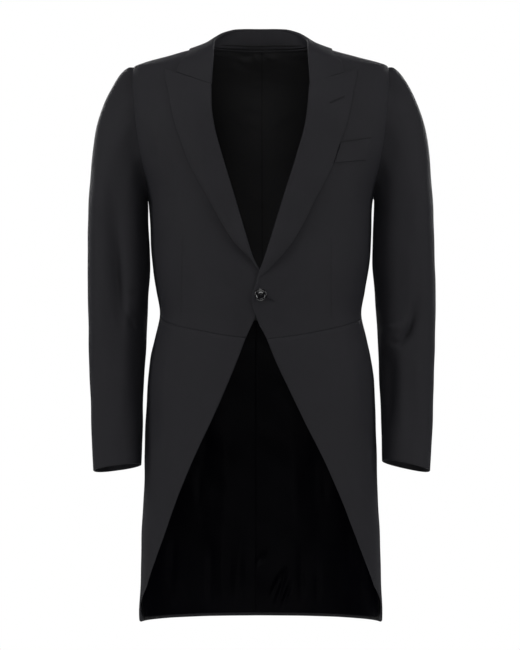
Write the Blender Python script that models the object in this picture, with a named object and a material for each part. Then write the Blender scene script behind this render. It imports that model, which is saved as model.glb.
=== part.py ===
"""A man's black wool morning coat, closed on its one button and filled out as if it were worn.

Sizes are in millimetres until the last step, which writes metres. The wearer's left is +X, the
front faces -Y and +Z is up. The origin is the nape, on the neck seam at the centre back.
"""

from collections import namedtuple

import bpy
import numpy as np

for old in list(bpy.data.objects):
    bpy.data.objects.remove(old)

LEFT, RIGHT = 1, -1
MM = 0.001
CLOTH = 2.0
LINING = 1.0
SEAM_GAP = 0.2
NAPE_BEHIND_MIDDLE = 62.0
SLOPE_STEP = 0.5
EDGE_FADE = 4

# Materials: the wool, its satin lining and the one moulded button
Finish = namedtuple("Finish", "name colour roughness metallic")
WOOL = Finish("black_wool", (0.014, 0.014, 0.017), 0.85, 0.0)
SATIN = Finish("black_satin_lining", (0.006, 0.006, 0.010), 0.45, 0.0)
GLOSS = Finish("black_gloss_button", (0.008, 0.008, 0.009), 0.18, 0.0)

# The body of the coat: level rings of its outer face, from the neck seam to the hem
Ring = namedtuple("Ring", "height half_width front back squareness")
BODY = [
    Ring(6, 66, 28, 56, 2.05),
    Ring(0, 87.5, 38, 62, 2.05),
    Ring(-8, 116.6, 46, 69, 2.1),
    Ring(-20, 160.3, 56, 78, 2.15),
    Ring(-30, 196, 63, 86, 2.25),
    Ring(-36, 210, 67, 90, 2.3),
    Ring(-50, 214, 76, 99, 2.4),
    Ring(-76, 215.5, 91, 110, 2.5),
    Ring(-108, 216.5, 106, 119, 2.6),
    Ring(-130, 216, 113, 123, 2.6),
    Ring(-168, 212, 119, 127, 2.6),
    Ring(-200, 203.5, 122, 128, 2.6),
    Ring(-225, 194.5, 123.5, 127, 2.6),
    Ring(-245, 188.5, 124, 126, 2.6),
    Ring(-265, 185.3, 124.5, 124.5, 2.56),
    Ring(-300, 183.2, 125, 120, 2.5),
    Ring(-340, 181.5, 127, 114, 2.4),
    Ring(-376, 178.2, 128, 108, 2.35),
    Ring(-410, 173, 127.5, 103, 2.3),
    Ring(-446, 167.5, 126, 99, 2.3),
    Ring(-486, 175, 125, 101, 2.3),
    Ring(-519, 182.6, 124.5, 104, 2.3),
    Ring(-560, 188, 124, 106, 2.3),
    Ring(-638, 191.2, 123, 106, 2.25),
    Ring(-718, 193.2, 122, 103, 2.25),
    Ring(-798, 197.2, 121, 100, 2.2),
    Ring(-877, 199.2, 120, 96, 2.2),
    Ring(-956, 203, 118, 90, 2.2),
    Ring(-970, 203.5, 118, 90, 2.2),
]


def smooth(knots, values, at):
    """A curve through the values that never overshoots them, read at the places asked for."""
    knots, values, at = np.asarray(knots, float), np.asarray(values, float), np.asarray(at, float)
    step = np.diff(knots)
    slope = np.diff(values) / step
    turn = np.concatenate([slope[:1], np.zeros(len(slope) - 1), slope[-1:]])
    for i in range(1, len(slope)):
        if slope[i - 1] * slope[i] > 0:
            near, far = 2 * step[i] + step[i - 1], step[i] + 2 * step[i - 1]
            turn[i] = (near + far) / (near / slope[i - 1] + far / slope[i])
    k = np.clip(np.searchsorted(knots, at) - 1, 0, len(step) - 1)
    t = (at - knots[k]) / step[k]
    back = 1 - t
    return (
        (1 + 2 * t) * back**2 * values[k]
        + t * back**2 * step[k] * turn[k]
        + t**2 * (3 - 2 * t) * values[k + 1]
        - t**2 * back * step[k] * turn[k + 1]
    )


def ring_at(height):
    """Half width, front depth, back depth and squareness of the body at a height."""
    rows = BODY[::-1]
    heights = [row.height for row in rows]
    return [smooth(heights, [row[k] for row in rows], height) for k in range(1, len(Ring._fields))]


def unit(vectors):
    return vectors / np.linalg.norm(vectors, axis=-1, keepdims=True)


def body_level(x, y, height):
    """1 on the outer face of the coat's body, less inside it and more outside."""
    half, front, back, power = ring_at(height)
    return (np.abs(x) / half) ** power + (np.abs(y) / np.where(y < 0, front, back)) ** power


def body(angle, height, side=LEFT, out=0.0):
    """Points at an angle round the body: 0 is the front centre, 90 the side, 180 the centre back."""
    angle, height, out = np.broadcast_arrays(np.asarray(angle, float), height, out)
    half, front, back, power = ring_at(height)
    s, c = np.sin(np.radians(angle)), np.cos(np.radians(angle))
    x = half * np.sign(s) * np.abs(s) ** (2 / power)
    y = -np.where(c > 0, front, back) * np.sign(c) * np.abs(c) ** (2 / power)
    e = SLOPE_STEP
    away = unit(
        np.stack(
            [
                body_level(x + e, y, height) - body_level(x - e, y, height),
                body_level(x, y + e, height) - body_level(x, y - e, height),
                body_level(x, y, height + e) - body_level(x, y, height - e),
            ],
            axis=-1,
        )
    )
    points = np.stack([x, y, height], axis=-1) + away * out[..., None]
    return points * (side, 1, 1)


def front_angle(across, height):
    """The angle of a point on the front, from its distance across from the centre line."""
    half, _, _, power = ring_at(height)
    share = np.clip(np.abs(across) / half, 0, 1) ** (power / 2)
    return np.degrees(np.arcsin(share)) * np.sign(across)


# Seams, as angle round the body and height. Neighbouring pieces share these tables.
Mark = namedtuple("Mark", "angle height")
SIDE_NECK = Mark(90, 1.2)
SHOULDER_TIP = Mark(90, -36)
UNDERARM = Mark(84, -247)
BACK_ARMHOLE = Mark(109.5, -195)
SIDE_WAIST = Mark(81, -453)
PLEAT_TOP = Mark(166, -449)
PLEAT_HEM = Mark(158, -959)
SKIRT_CORNER = Mark(99, -959)
NAPE = Mark(180, 0)
CENTRE_WAIST = Mark(180, -449)
CENTRE_HEM = Mark(180, -959)

SHOULDER_SEAM = [SIDE_NECK, SHOULDER_TIP]
BACK_NECK = [NAPE, Mark(150, 0), Mark(120, 0.3), SIDE_NECK]
ARMHOLE_FRONT = [
    SHOULDER_TIP,
    Mark(84.5, -54),
    Mark(77.7, -76),
    Mark(71.5, -108),
    Mark(68.8, -140),
    Mark(68.4, -175),
    Mark(72.5, -213),
    Mark(78, -234),
    UNDERARM,
]
ARMHOLE_UNDER = [UNDERARM, Mark(90, -251), Mark(97, -244), Mark(103.5, -224), BACK_ARMHOLE]
ARMHOLE_BACK = [
    SHOULDER_TIP,
    Mark(94, -54),
    Mark(101, -76),
    Mark(107, -108),
    Mark(109.5, -145),
    BACK_ARMHOLE,
]
SIDE_SEAM = [UNDERARM, Mark(82.5, -300), Mark(81.3, -380), SIDE_WAIST]
BACK_SEAM = [
    BACK_ARMHOLE,
    Mark(117, -240),
    Mark(128, -290),
    Mark(141, -340),
    Mark(153, -385),
    Mark(162, -422),
    PLEAT_TOP,
]
PLEAT = [PLEAT_TOP, Mark(163, -520), Mark(160.5, -700), PLEAT_HEM]
UNDER_WAIST = [SIDE_WAIST, Mark(120, -450), PLEAT_TOP]

# Where the lapel rolls, the neck seam in front of it, and the front edges below the break.
# Across is measured from the centre line; the closing sits a little to the wearer's right.
Across = namedtuple("Across", "across height")
Shift = namedtuple("Shift", "height roll lapel_edge")
CLOSING = [Shift(-376, 3.6, -5.0), Shift(-180, 2.4, 0.0), Shift(-110, 2.0, 0.0), Shift(-50, 0.0, 0.0)]
ROLL = [
    Across(79.0, -76),
    Across(77.3, -106),
    Across(74.8, -129),
    Across(70.7, -151),
    Across(64.4, -174),
    Across(58.0, -196),
    Across(51.0, -219),
    Across(44.0, -241),
    Across(37.0, -264),
    Across(30.4, -286),
    Across(23.8, -308),
    Across(16.8, -331),
    Across(9.8, -353),
    Across(5.0, -366),
]
FRONT_NECK = [
    Across(84.5, -4),
    Across(84.8, -14),
    Across(84.4, -30),
    Across(83.6, -50),
    Across(82.5, -76),
]
LEFT_EDGE = [
    Across(-2, -378),
    Across(-5.5, -388),
    Across(-9, -400),
    Across(-14.3, -421),
    Across(-12.8, -435),
    Across(-8.3, -448),
    Across(1, -470),
    Across(9.6, -486.5),
]
RIGHT_EDGE = [
    Across(-1, -378),
    Across(-6, -390),
    Across(-11, -405),
    Across(-9, -421),
    Across(-5, -430),
    Across(1, -440),
    Across(9, -453),
    Across(24.5, -485),
]
# The cutaway below the waist seam, the same curve for both skirts apart from the lap
LEFT_CUTAWAY = [
    Across(9.6, -486.5),
    Across(24.4, -523),
    Across(45.9, -568),
    Across(67.5, -613),
    Across(90.4, -658),
    Across(112.5, -704),
    Across(132.2, -750),
    Across(150.2, -796),
    Across(168.6, -843),
]
RIGHT_CUTAWAY = [
    Across(24.5, -485),
    Across(38.9, -523),
    Across(57.5, -568),
    Across(77.4, -613),
    Across(98.8, -658),
    Across(119.3, -704),
    Across(137.6, -750),
    Across(154.3, -796),
    Across(171.6, -843),
]
CUTAWAY_FOOT = [
    Mark(69, -892),
    Mark(81, -918),
    Mark(88.5, -938),
    Mark(91.5, -950),
    Mark(94.5, -956.5),
    SKIRT_CORNER,
]


def closing_shift(height, what="roll"):
    """How far the roll line or the lapel's edge has moved to the wearer's right at a height."""
    return np.interp(height, [row.height for row in CLOSING], [getattr(row, what) for row in CLOSING])


def marks(table, side=LEFT, shifted=False, out=0.0):
    """A table of distances across, turned into angles on one side of the coat."""
    found = []
    for row in table:
        across = row.across + out - (side * closing_shift(row.height) if shifted else 0)
        found.append(Mark(float(front_angle(across, row.height)), row.height))
    return found


def along(seam, steps):
    """Points evenly spaced along a seam: a smooth curve through its marks."""
    seam = np.array(seam, float)
    places = body(seam[:, 0], seam[:, 1])
    length = np.concatenate([[0], np.cumsum(np.linalg.norm(np.diff(places, axis=0), axis=1))])
    fine = np.linspace(0, length[-1], 40 * steps + 1)
    angle, height = (smooth(length, seam[:, k], fine) for k in (0, 1))
    places = body(angle, height)
    run = np.concatenate([[0], np.cumsum(np.linalg.norm(np.diff(places, axis=0), axis=1))])
    even = np.linspace(0, run[-1], steps + 1)
    return np.stack([np.interp(even, run, angle), np.interp(even, run, height)], axis=-1)


def edge(*seams):
    """One edge of a piece, from (seam, steps) pairs laid end to end."""
    runs = [along(seam, steps) for seam, steps in seams]
    return np.concatenate([runs[0]] + [run[1:] for run in runs[1:]])


def patch(top, bottom, front, back):
    """The grid of angles and heights that fills the four edges of a piece.

    Rows run straight from the front edge to the back edge, and the shapes of the top and bottom
    edges fade out away from them.
    """
    r = np.linspace(0, 1, len(front))[:, None, None]
    s = np.linspace(0, 1, len(top))[None, :, None]
    straight = (1 - s) * front[:, None] + s * back[:, None]
    from_top = (1 - r) ** EDGE_FADE * (top[None] - straight[:1])
    from_bottom = r**EDGE_FADE * (bottom[None] - straight[-1:])
    return straight + from_top + from_bottom


# Making a sheet of cloth from the grid of points on each of its faces
def pull_in(grid, gap):
    """The grid with each border drawn in by the gap, so that neighbours don't touch."""
    grid = grid.copy()
    grid[0] += unit(grid[1] - grid[0]) * gap
    grid[-1] += unit(grid[-2] - grid[-1]) * gap
    grid[:, 0] += unit(grid[:, 1] - grid[:, 0]) * gap
    grid[:, -1] += unit(grid[:, -2] - grid[:, -1]) * gap
    return grid


def finish_material(finish):
    material = bpy.data.materials.get(finish.name)
    if material is None:
        material = bpy.data.materials.new(finish.name)
        material.use_nodes = True
        shader = material.node_tree.nodes["Principled BSDF"]
        shader.inputs["Base Color"].default_value = (*finish.colour, 1)
        shader.inputs["Roughness"].default_value = finish.roughness
        shader.inputs["Metallic"].default_value = finish.metallic
    return material


def add_object(name, points, faces, finish):
    """A mesh whose faces point outwards, with the nape at the origin."""
    points = np.asarray(points, float)
    volume = 0.0
    for face in faces:
        for k in range(1, len(face) - 1):
            volume += np.linalg.det(points[[face[0], face[k], face[k + 1]]])
    if volume < 0:
        faces = [face[::-1] for face in faces]
    mesh = bpy.data.meshes.new(name)
    mesh.from_pydata(((points - (0, NAPE_BEHIND_MIDDLE, 0)) * MM).tolist(), [], faces)
    mesh.materials.append(finish_material(finish))
    piece = bpy.data.objects.new(name, mesh)
    bpy.context.scene.collection.objects.link(piece)
    return piece


def add_sheet(name, outer, inner, finish, gap=SEAM_GAP):
    """A closed sheet of cloth between its outer and inner faces."""
    outer, inner = pull_in(outer, gap), pull_in(inner, gap)
    rows, columns = outer.shape[:2]
    points = np.concatenate([outer.reshape(-1, 3), inner.reshape(-1, 3)])
    index = np.arange(rows * columns).reshape(rows, columns)
    under = index + rows * columns
    faces = []
    for r in range(rows - 1):
        for c in range(columns - 1):
            faces.append([index[r, c], index[r, c + 1], index[r + 1, c + 1], index[r + 1, c]])
            faces.append([under[r, c], under[r + 1, c], under[r + 1, c + 1], under[r, c + 1]])
    rim = (
        [(0, c) for c in range(columns)]
        + [(r, columns - 1) for r in range(1, rows)]
        + [(rows - 1, c) for c in range(columns - 2, -1, -1)]
        + [(r, 0) for r in range(rows - 2, 0, -1)]
    )
    for a, b in zip(rim, rim[1:] + rim[:1]):
        faces.append([index[b], index[a], under[a], under[b]])
    return add_object(name, points, [[int(i) for i in face] for face in faces], finish)


def add_panel(name, side, grid, finish=WOOL, out=0.0, thickness=CLOTH):
    """A sheet lying on the body, its outer face moved out from it by a distance."""
    angle, height = grid[..., 0], grid[..., 1]
    out = np.broadcast_to(out, angle.shape)
    outer = body(angle, height, side, out)
    inner = body(angle, height, side, out - thickness)
    return add_sheet(name, outer, inner, finish)


# Foreparts: shoulder to waist seam, from the roll line and front edge back to the side seam
NECK_STEPS, ROLL_STEPS, EDGE_STEPS = 6, 13, 6
ARMHOLE_STEPS, SIDE_STEPS = 13, 12
FOREPART_COLUMNS = 11
ROLL_RADIUS = 3.0
ROLL_CLEARANCE = 0.7
UNDERLAP = 2.7
UNDERLAP_EDGE, UNDERLAP_END = 16.0, 48.0
UNDERLAP_FROM, UNDERLAP_FULL = -330.0, -360.0
FRONT_WAIST = [Mark(18, -480), Mark(31, -473.5), Mark(46, -467), Mark(64, -459)]


def ease(share):
    """From 0 to 1, starting and ending gently."""
    share = np.clip(share, 0, 1)
    return share**2 * (3 - 2 * share)


def underlap(points):
    """How far the right forepart is tucked in, so that the left one lies over it."""
    away = ease((-points[..., 0] - UNDERLAP_EDGE) / (UNDERLAP_END - UNDERLAP_EDGE))
    low = np.clip((points[..., 2] - UNDERLAP_FROM) / (UNDERLAP_FULL - UNDERLAP_FROM), 0, 1)
    return -UNDERLAP * (1 - away) * low


def forepart_grid(side):
    roll_edge = marks(ROLL, side, shifted=True, out=ROLL_RADIUS + ROLL_CLEARANCE)
    front_edge = LEFT_EDGE if side == LEFT else RIGHT_EDGE
    front_edge = [Mark(float(front_angle(row.across, row.height)), row.height) for row in front_edge]
    neck = [SIDE_NECK] + marks(FRONT_NECK)[:-1] + [roll_edge[0]]
    waist = [front_edge[-1]] + FRONT_WAIST + [SIDE_WAIST]
    front = edge((neck, NECK_STEPS), (roll_edge, ROLL_STEPS), ([roll_edge[-1]] + front_edge, EDGE_STEPS))
    back = edge((ARMHOLE_FRONT, ARMHOLE_STEPS), (SIDE_SEAM, SIDE_STEPS))
    top = edge((SHOULDER_SEAM, FOREPART_COLUMNS))
    bottom = edge((waist, FOREPART_COLUMNS))
    return patch(top, bottom, front, back), waist


for side, label in ((LEFT, "left"), (RIGHT, "right")):
    grid, _ = forepart_grid(side)
    tuck = underlap(body(grid[..., 0], grid[..., 1], side)) if side == RIGHT else 0.0
    add_panel("forepart_" + label, side, grid, out=tuck)

# Side bodies: under the arm, from the side seam to the curved back seam
UNDERARM_COLUMNS = 6
for side, label in ((LEFT, "left"), (RIGHT, "right")):
    grid = patch(
        edge((ARMHOLE_UNDER, UNDERARM_COLUMNS)),
        edge((UNDER_WAIST, UNDERARM_COLUMNS)),
        edge((SIDE_SEAM, SIDE_STEPS)),
        edge((BACK_SEAM, SIDE_STEPS)),
    )
    add_panel("side_body_" + label, side, grid)

# Backs: neck to hem in one piece, meeting at the centre back seam and at the vent below it
BACK_NECK_COLUMNS, BACK_SHOULDER_COLUMNS = 4, 4
BACK_ROWS = (10, SIDE_STEPS, 12)
CENTRE_CHEST = Mark(180, -190)
for side, label in ((LEFT, "left"), (RIGHT, "right")):
    grid = patch(
        edge((BACK_NECK, BACK_NECK_COLUMNS), (SHOULDER_SEAM, BACK_SHOULDER_COLUMNS)),
        edge(([CENTRE_HEM, PLEAT_HEM], BACK_NECK_COLUMNS + BACK_SHOULDER_COLUMNS)),
        edge(
            ([NAPE, CENTRE_CHEST], BACK_ROWS[0]),
            ([CENTRE_CHEST, CENTRE_WAIST], BACK_ROWS[1]),
            ([CENTRE_WAIST, CENTRE_HEM], BACK_ROWS[2]),
        ),
        edge((ARMHOLE_BACK, BACK_ROWS[0]), (BACK_SEAM, BACK_ROWS[1]), (PLEAT, BACK_ROWS[2])),
    )
    add_panel("back_" + label, side, grid)

# Skirts: from the waist seam to the hem, from the cutaway edge back to the pleat
SKIRT_FRONT_COLUMNS, SKIRT_BACK_COLUMNS = 7, 6
CUTAWAY_ROWS, FOOT_ROWS = 8, 4


def skirt_grid(side):
    _, waist = forepart_grid(side)
    cutaway = [
        Mark(float(front_angle(row.across, row.height)), row.height)
        for row in (LEFT_CUTAWAY if side == LEFT else RIGHT_CUTAWAY)
    ]
    columns = SKIRT_FRONT_COLUMNS + SKIRT_BACK_COLUMNS
    return patch(
        edge((waist, SKIRT_FRONT_COLUMNS), (UNDER_WAIST, SKIRT_BACK_COLUMNS)),
        edge(([SKIRT_CORNER, PLEAT_HEM], columns)),
        edge((cutaway + CUTAWAY_FOOT[:1], CUTAWAY_ROWS), (CUTAWAY_FOOT, FOOT_ROWS)),
        edge((PLEAT, CUTAWAY_ROWS + FOOT_ROWS)),
    )


for side, label in ((LEFT, "left"), (RIGHT, "right")):
    add_panel("skirt_" + label, side, skirt_grid(side))

# Lapels: each rolls over at the roll line and lies on its forepart up to the gorge
Lap = namedtuple("Lap", "fold_across fold_height edge_across edge_height")
LAPEL = [
    Lap(79.0, -76.6, 157.2, -45.6),
    Lap(78.5, -84, 155.6, -62),
    Lap(78.0, -93, 150.3, -84),
    Lap(77.0, -110, 144.2, -115),
    Lap(74.8, -129, 137.5, -142),
    Lap(70.7, -151, 130.5, -162),
    Lap(64.4, -174, 123.5, -181),
    Lap(58.0, -196, 116.2, -202),
    Lap(51.0, -219, 106.0, -223),
    Lap(44.0, -241, 94.0, -245),
    Lap(37.0, -264, 81.5, -268),
    Lap(30.4, -286, 70.0, -291),
    Lap(23.8, -308, 57.8, -313),
    Lap(16.8, -331, 43.5, -335),
    Lap(9.8, -353, 25.0, -356),
    Lap(5.0, -366, 11.5, -370),
]
LAPEL_ROWS = 20
CURL_STEPS = 4
LAPEL_STEPS = 5
LAPEL_EDGE_RISE = 0.7
LEAST_LAPEL = 6.0
ROLL_SOFTNESS = 1.6
ROLL_BASE = 1.0
ROLL_LIFT = 2.0


def curl(radius):
    """The half turn of the cloth at a fold, as (distance from the fold, rise) pairs."""
    turn = np.radians(np.linspace(-90, 90, CURL_STEPS + 1))
    return ROLL_RADIUS - radius * np.cos(turn), ROLL_BASE + radius * np.sin(turn)


def lay_over(length, rise_at_edge, softness):
    """Distances and rises, right across a turned-down piece, of its shown and hidden faces."""
    faces = []
    share = np.linspace(0, 1, LAPEL_STEPS + 1)[1:]
    for radius, lift in ((ROLL_RADIUS, CLOTH), (ROLL_RADIUS - CLOTH, 0.0)):
        distance, rise = curl(radius)
        run = ROLL_RADIUS + share * (length - ROLL_RADIUS)
        lie = (1 - share) * ROLL_LIFT + share * rise_at_edge
        lie = lie + softness * np.sin(np.pi * share) + lift
        faces.append((np.concatenate([distance, run]), np.concatenate([rise, lie])))
    return faces


def lapel_faces(side):
    table = np.array(LAPEL, float)
    row = np.linspace(0, len(LAPEL) - 1, LAPEL_ROWS)
    fold_x, fold_z, edge_x, edge_z = (smooth(range(len(LAPEL)), table[:, k], row) for k in range(4))
    fold_x = fold_x - side * closing_shift(fold_z)
    edge_x = np.maximum(edge_x - side * closing_shift(edge_z, "lapel_edge"), fold_x + LEAST_LAPEL)
    fold = np.stack([front_angle(fold_x, fold_z), fold_z], axis=-1)
    rim = np.stack([front_angle(edge_x, edge_z), edge_z], axis=-1)
    length = np.linalg.norm(body(*fold.T) - body(*rim.T), axis=-1)
    shown, hidden = [], []
    for k in range(LAPEL_ROWS):
        for face, (distance, rise) in zip(
            (shown, hidden), lay_over(length[k], LAPEL_EDGE_RISE, ROLL_SOFTNESS)
        ):
            place = fold[k] + (rim[k] - fold[k]) * (distance / length[k])[:, None]
            face.append(body(place[:, 0], place[:, 1], side, rise))
    return np.array(shown), np.array(hidden)


for side, label in ((LEFT, "left"), (RIGHT, "right")):
    shown, hidden = lapel_faces(side)
    if side == RIGHT:
        tuck = underlap(shown)[..., None] * (0, -1, 0)
        shown, hidden = shown + tuck, hidden + tuck
    add_sheet("lapel_" + label, shown, hidden, WOOL)

# Collar: the stand rises from the neck seam to the fold, and the fall turns down over it
Collar = namedtuple("Collar", "fold_x fold_y fold_z leaf_angle leaf_height neck_angle neck_height swell")
COLLAR = [
    Collar(79.0, -91.3, -75.4, 35.7, -53.6, 17.6, -76, 3.6),
    Collar(78.0, -74, -50, 35.6, -39, 18.9, -50, 3.4),
    Collar(76.8, -60, -28, 40.0, -27, 23, -30, 2.4),
    Collar(76.3, -41, -9, 50.0, -17.5, 37, -14, 1.0),
    Collar(76.0, -19, 3.5, 68.0, -10.5, 58.7, -4, -0.6),
    Collar(74.5, 4, 10.5, 88, -7, 86, 1.0, -2.0),
    Collar(69.5, 23, 17.2, 107, -7, 106, 0.6, -1.6),
    Collar(57.5, 42, 27.3, 128, -8, 126, 0.2, -0.4),
    Collar(38.5, 54, 34.6, 147, -9.5, 146, 0, 0.4),
    Collar(17.0, 59.3, 36, 166, -10.5, 165, 0, 0.5),
    Collar(0.0, 60.5, 36, 180, -10.8, 180, 0, 0.5),
]
COLLAR_COLUMNS = 13
LEAF_RISE = 0.8
LYING_COLUMNS = 3
STAND_FROM = 4
STAND_ROWS = 4
STAND_FOOT = 2.3


def collar_stations():
    """The collar's fold, leaf edge and neck seam from the left gorge round to the right one."""
    table = np.array(COLLAR, float)
    place = np.linspace(0, len(COLLAR) - 1, COLLAR_COLUMNS)
    half = np.stack([smooth(range(len(COLLAR)), table[:, k], place) for k in range(8)], axis=-1)
    fold = half[:, :3]
    leaf = body(half[:, 3], half[:, 4])
    neck = body(half[:, 5], half[:, 6])
    both = [np.concatenate([part, part[-2::-1] * (-1, 1, 1)]) for part in (fold, leaf, neck)]
    swell, leaf_mark = (np.concatenate([part, part[-2::-1]]) for part in (half[:, 7], half[:, 3:5]))
    across = unit(both[1] - both[0])
    run = unit(np.gradient(both[0], axis=0))
    away = unit(np.cross(across, run))
    across = unit(np.cross(run, away))
    return both[0], both[1], both[2], swell, leaf_mark, across, away


def fall_faces():
    """The collar fall: by the gorge it lies on the forepart as the lapel does, then it stands off."""
    shown, hidden = [], []
    last = len(fold) - 1
    for k in range(len(fold)):
        reach = leaf[k] - fold[k]
        length = np.linalg.norm(reach)
        side = RIGHT if k > last / 2 else LEFT
        free = np.clip(min(k, last - k) / LYING_COLUMNS, 0, 1)
        here = np.array([front_angle(abs(fold[k, 0]), fold[k, 2]), fold[k, 2]])
        there = np.array([leaf_mark[k][0], leaf_mark[k][1]])
        softness = ROLL_SOFTNESS * (1 - free) + swell[k] * free
        for face, (distance, rise) in zip((shown, hidden), lay_over(length, LEAF_RISE, softness)):
            share = np.clip((distance - ROLL_RADIUS) / (length - ROLL_RADIUS), 0, 1)[:, None]
            curled = fold[k] + across[k] * distance[:, None]
            straight = fold[k] + reach * (distance / length)[:, None]
            stood = curled * (1 - share) + straight * share + away[k] * rise[:, None]
            if free < 1:
                place = here + (there - here) * (distance / length)[:, None]
                lying = body(place[:, 0], place[:, 1], side, rise)
                stood = lying * (1 - free) + stood * free
            face.append(stood)
    return np.array(shown), np.array(hidden)


fold, leaf, neck, swell, leaf_mark, across, away = collar_stations()
shown, hidden = fall_faces()
add_sheet("collar_fall", shown, hidden, WOOL)

inside, outside = [], []
for k in range(STAND_FROM, len(fold) - STAND_FROM):
    top = fold[k] + across[k] * (ROLL_RADIUS + 2 * SEAM_GAP)
    foot = neck[k] + unit(top - neck[k]) * STAND_FOOT
    share = np.linspace(0, 1, STAND_ROWS + 1)[:, None]
    outside.append(foot + (top - foot) * share)
    inside.append(outside[-1] - away[k] * CLOTH)
add_sheet("collar_stand", np.array(outside), np.array(inside), WOOL)

# Sleeves: a tube from the armhole to the cuff, cut in a top sleeve and an under sleeve
Arm = namedtuple("Arm", "height centre_x centre_y half_width half_depth")
ARM = [
    Arm(-275, 236.6, 4, 49.2, 72),
    Arm(-359, 236.8, 4, 51.4, 68),
    Arm(-419, 239.3, 3, 49.9, 64),
    Arm(-499, 240.2, 0, 47.0, 59),
    Arm(-598, 240.8, -8, 43.3, 55),
    Arm(-638, 240.4, -12, 41.8, 53),
    Arm(-697, 239.4, -18, 39.4, 51),
    Arm(-720, 239.2, -20, 39.0, 51),
]
# Round the arm: 0 is its outer side, 90 its front, 180 against the body, 270 its back
Head = namedtuple("Head", "round_arm angle height")
ARMHOLE = [
    Head(0, 90, -36),
    Head(22, 84.5, -54),
    Head(42, 77.7, -76),
    Head(64, 71.5, -108),
    Head(82, 68.8, -140),
    Head(101, 68.4, -175),
    Head(128, 72.5, -213),
    Head(148, 78, -234),
    Head(165, 84, -247),
    Head(180, 90, -251),
    Head(198, 97, -244),
    Head(222, 103.5, -224),
    Head(246, 109.5, -195),
    Head(275, 109.5, -145),
    Head(298, 107, -108),
    Head(320, 101, -76),
    Head(340, 94, -54),
    Head(360, 90, -36),
]
ARM_POWER = 2.1
BICEP, CUFF = -275.0, -697.0
SEAM_IN_FRONT, SEAM_BEHIND = 165.0, 262.0
TOP_COLUMNS, UNDER_COLUMNS = 14, 5
HEAD_ROWS, ARM_ROWS = 7, 15
# How the sleeve leaves its armhole and comes down to the bicep, at its crown and at its underarm
HEAD_OUT = 0.9
ROPING = 3.0
HEAD_FULLNESS, FULLEST_FROM, FULLNESS_POWER = 5.0, 1.3, 4
CROWN_LEAVES, UNDERARM_LEAVES = np.array((0.99, 0, -0.12)), np.array((0.08, 0, -1.0))
CROWN_ARRIVES, UNDERARM_ARRIVES = np.array((0.05, 0, -1.0)), np.array((0, 0, -1.0))
CROWN_PULL, CROWN_SETTLE, UNDERARM_PULL = 0.52, 1.31, 0.9
FORWARD_SWAY = -0.35
CUFF_OUTWARD_DROP, CUFF_BACKWARD_DROP = 0.14, 0.15
# How far each forearm hangs away from the body, and how much longer its cuff is
SWING = {LEFT: 1.0, RIGHT: -2.6}
CUFF_LONGER = {LEFT: 0.0, RIGHT: 3.0}
SWING_FROM, SWING_TO = -290.0, -440.0


def arm_ring(turn, height, tilt=0.0):
    """Points round the sleeve at one height, tilted towards the cut of the cuff."""
    rows = ARM[::-1]
    heights = [row.height for row in rows]
    centre_x, centre_y, wide, deep = (
        smooth(heights, [row[k] for row in rows], height) for k in range(1, len(Arm._fields))
    )
    c, s = np.cos(np.radians(turn)), np.sin(np.radians(turn))
    outward = wide * np.sign(c) * np.abs(c) ** (2 / ARM_POWER)
    backward = -deep * np.sign(s) * np.abs(s) ** (2 / ARM_POWER)
    drop = tilt * (CUFF_OUTWARD_DROP * outward + CUFF_BACKWARD_DROP * backward)
    return np.stack([centre_x + outward, centre_y + backward, height - drop], axis=-1)


def sleeve_tube(turn, side):
    """The sleeve's outer face: a row of points at each level, one for each turn round the arm."""
    table = np.array(ARMHOLE, float)
    seat = body(smooth(table[:, 0], table[:, 1], turn % 360), smooth(table[:, 0], table[:, 2], turn % 360))
    high = (1 + np.cos(np.radians(turn)))[:, None] / 2
    low = 1 - high
    start = seat + (HEAD_OUT, 0, 0) + high**2 * (0, 0, ROPING)
    end = arm_ring(turn, BICEP)
    reach = np.linalg.norm(end - start, axis=-1, keepdims=True)
    sway = FORWARD_SWAY * np.sin(np.radians(turn))[:, None] * (0, 1, 0)
    leave = unit(high * CROWN_LEAVES + low * UNDERARM_LEAVES + sway)
    arrive = unit(high * CROWN_ARRIVES + low * UNDERARM_ARRIVES)
    rows = []
    for t in np.linspace(0, 1, HEAD_ROWS + 1):
        fullness = HEAD_FULLNESS * np.sin(np.pi * t**FULLEST_FROM) ** FULLNESS_POWER
        rows.append(
            (1 + 2 * t) * (1 - t) ** 2 * start
            + t * (1 - t) ** 2 * reach * (CROWN_PULL * high + UNDERARM_PULL * low) * leave
            + t**2 * (3 - 2 * t) * end
            - t**2 * (1 - t) * reach * (CROWN_SETTLE * high + UNDERARM_PULL * low) * arrive
            + fullness * high**2 * (1, 0, 0)
        )
    for share in np.linspace(0, 1, ARM_ROWS + 1)[1:]:
        height = BICEP + (CUFF - CUFF_LONGER[side] - BICEP) * share
        swing = SWING[side] * ease((height - SWING_FROM) / (SWING_TO - SWING_FROM))
        rows.append(arm_ring(turn, height, share**3) + (swing, 0, 0))
    return np.array(rows)


def sleeve_faces(first, last, columns, side):
    """The outer and inner faces of the sleeve between two turns round the arm."""
    turn = np.linspace(first, last, columns + 1)
    outer = sleeve_tube(turn, side)
    round_it = sleeve_tube(turn + 1, side) - sleeve_tube(turn - 1, side)
    away = unit(np.cross(round_it, np.gradient(outer, axis=0)))
    return outer, outer - away * CLOTH


for side, label in ((LEFT, "left"), (RIGHT, "right")):
    for name, span in (
        ("top_sleeve_", (SEAM_BEHIND - 360, SEAM_IN_FRONT, TOP_COLUMNS)),
        ("under_sleeve_", (SEAM_IN_FRONT, SEAM_BEHIND, UNDER_COLUMNS)),
    ):
        outer, inner = sleeve_faces(*span, side)
        add_sheet(name + label, outer * (side, 1, 1), inner * (side, 1, 1), WOOL)

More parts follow.
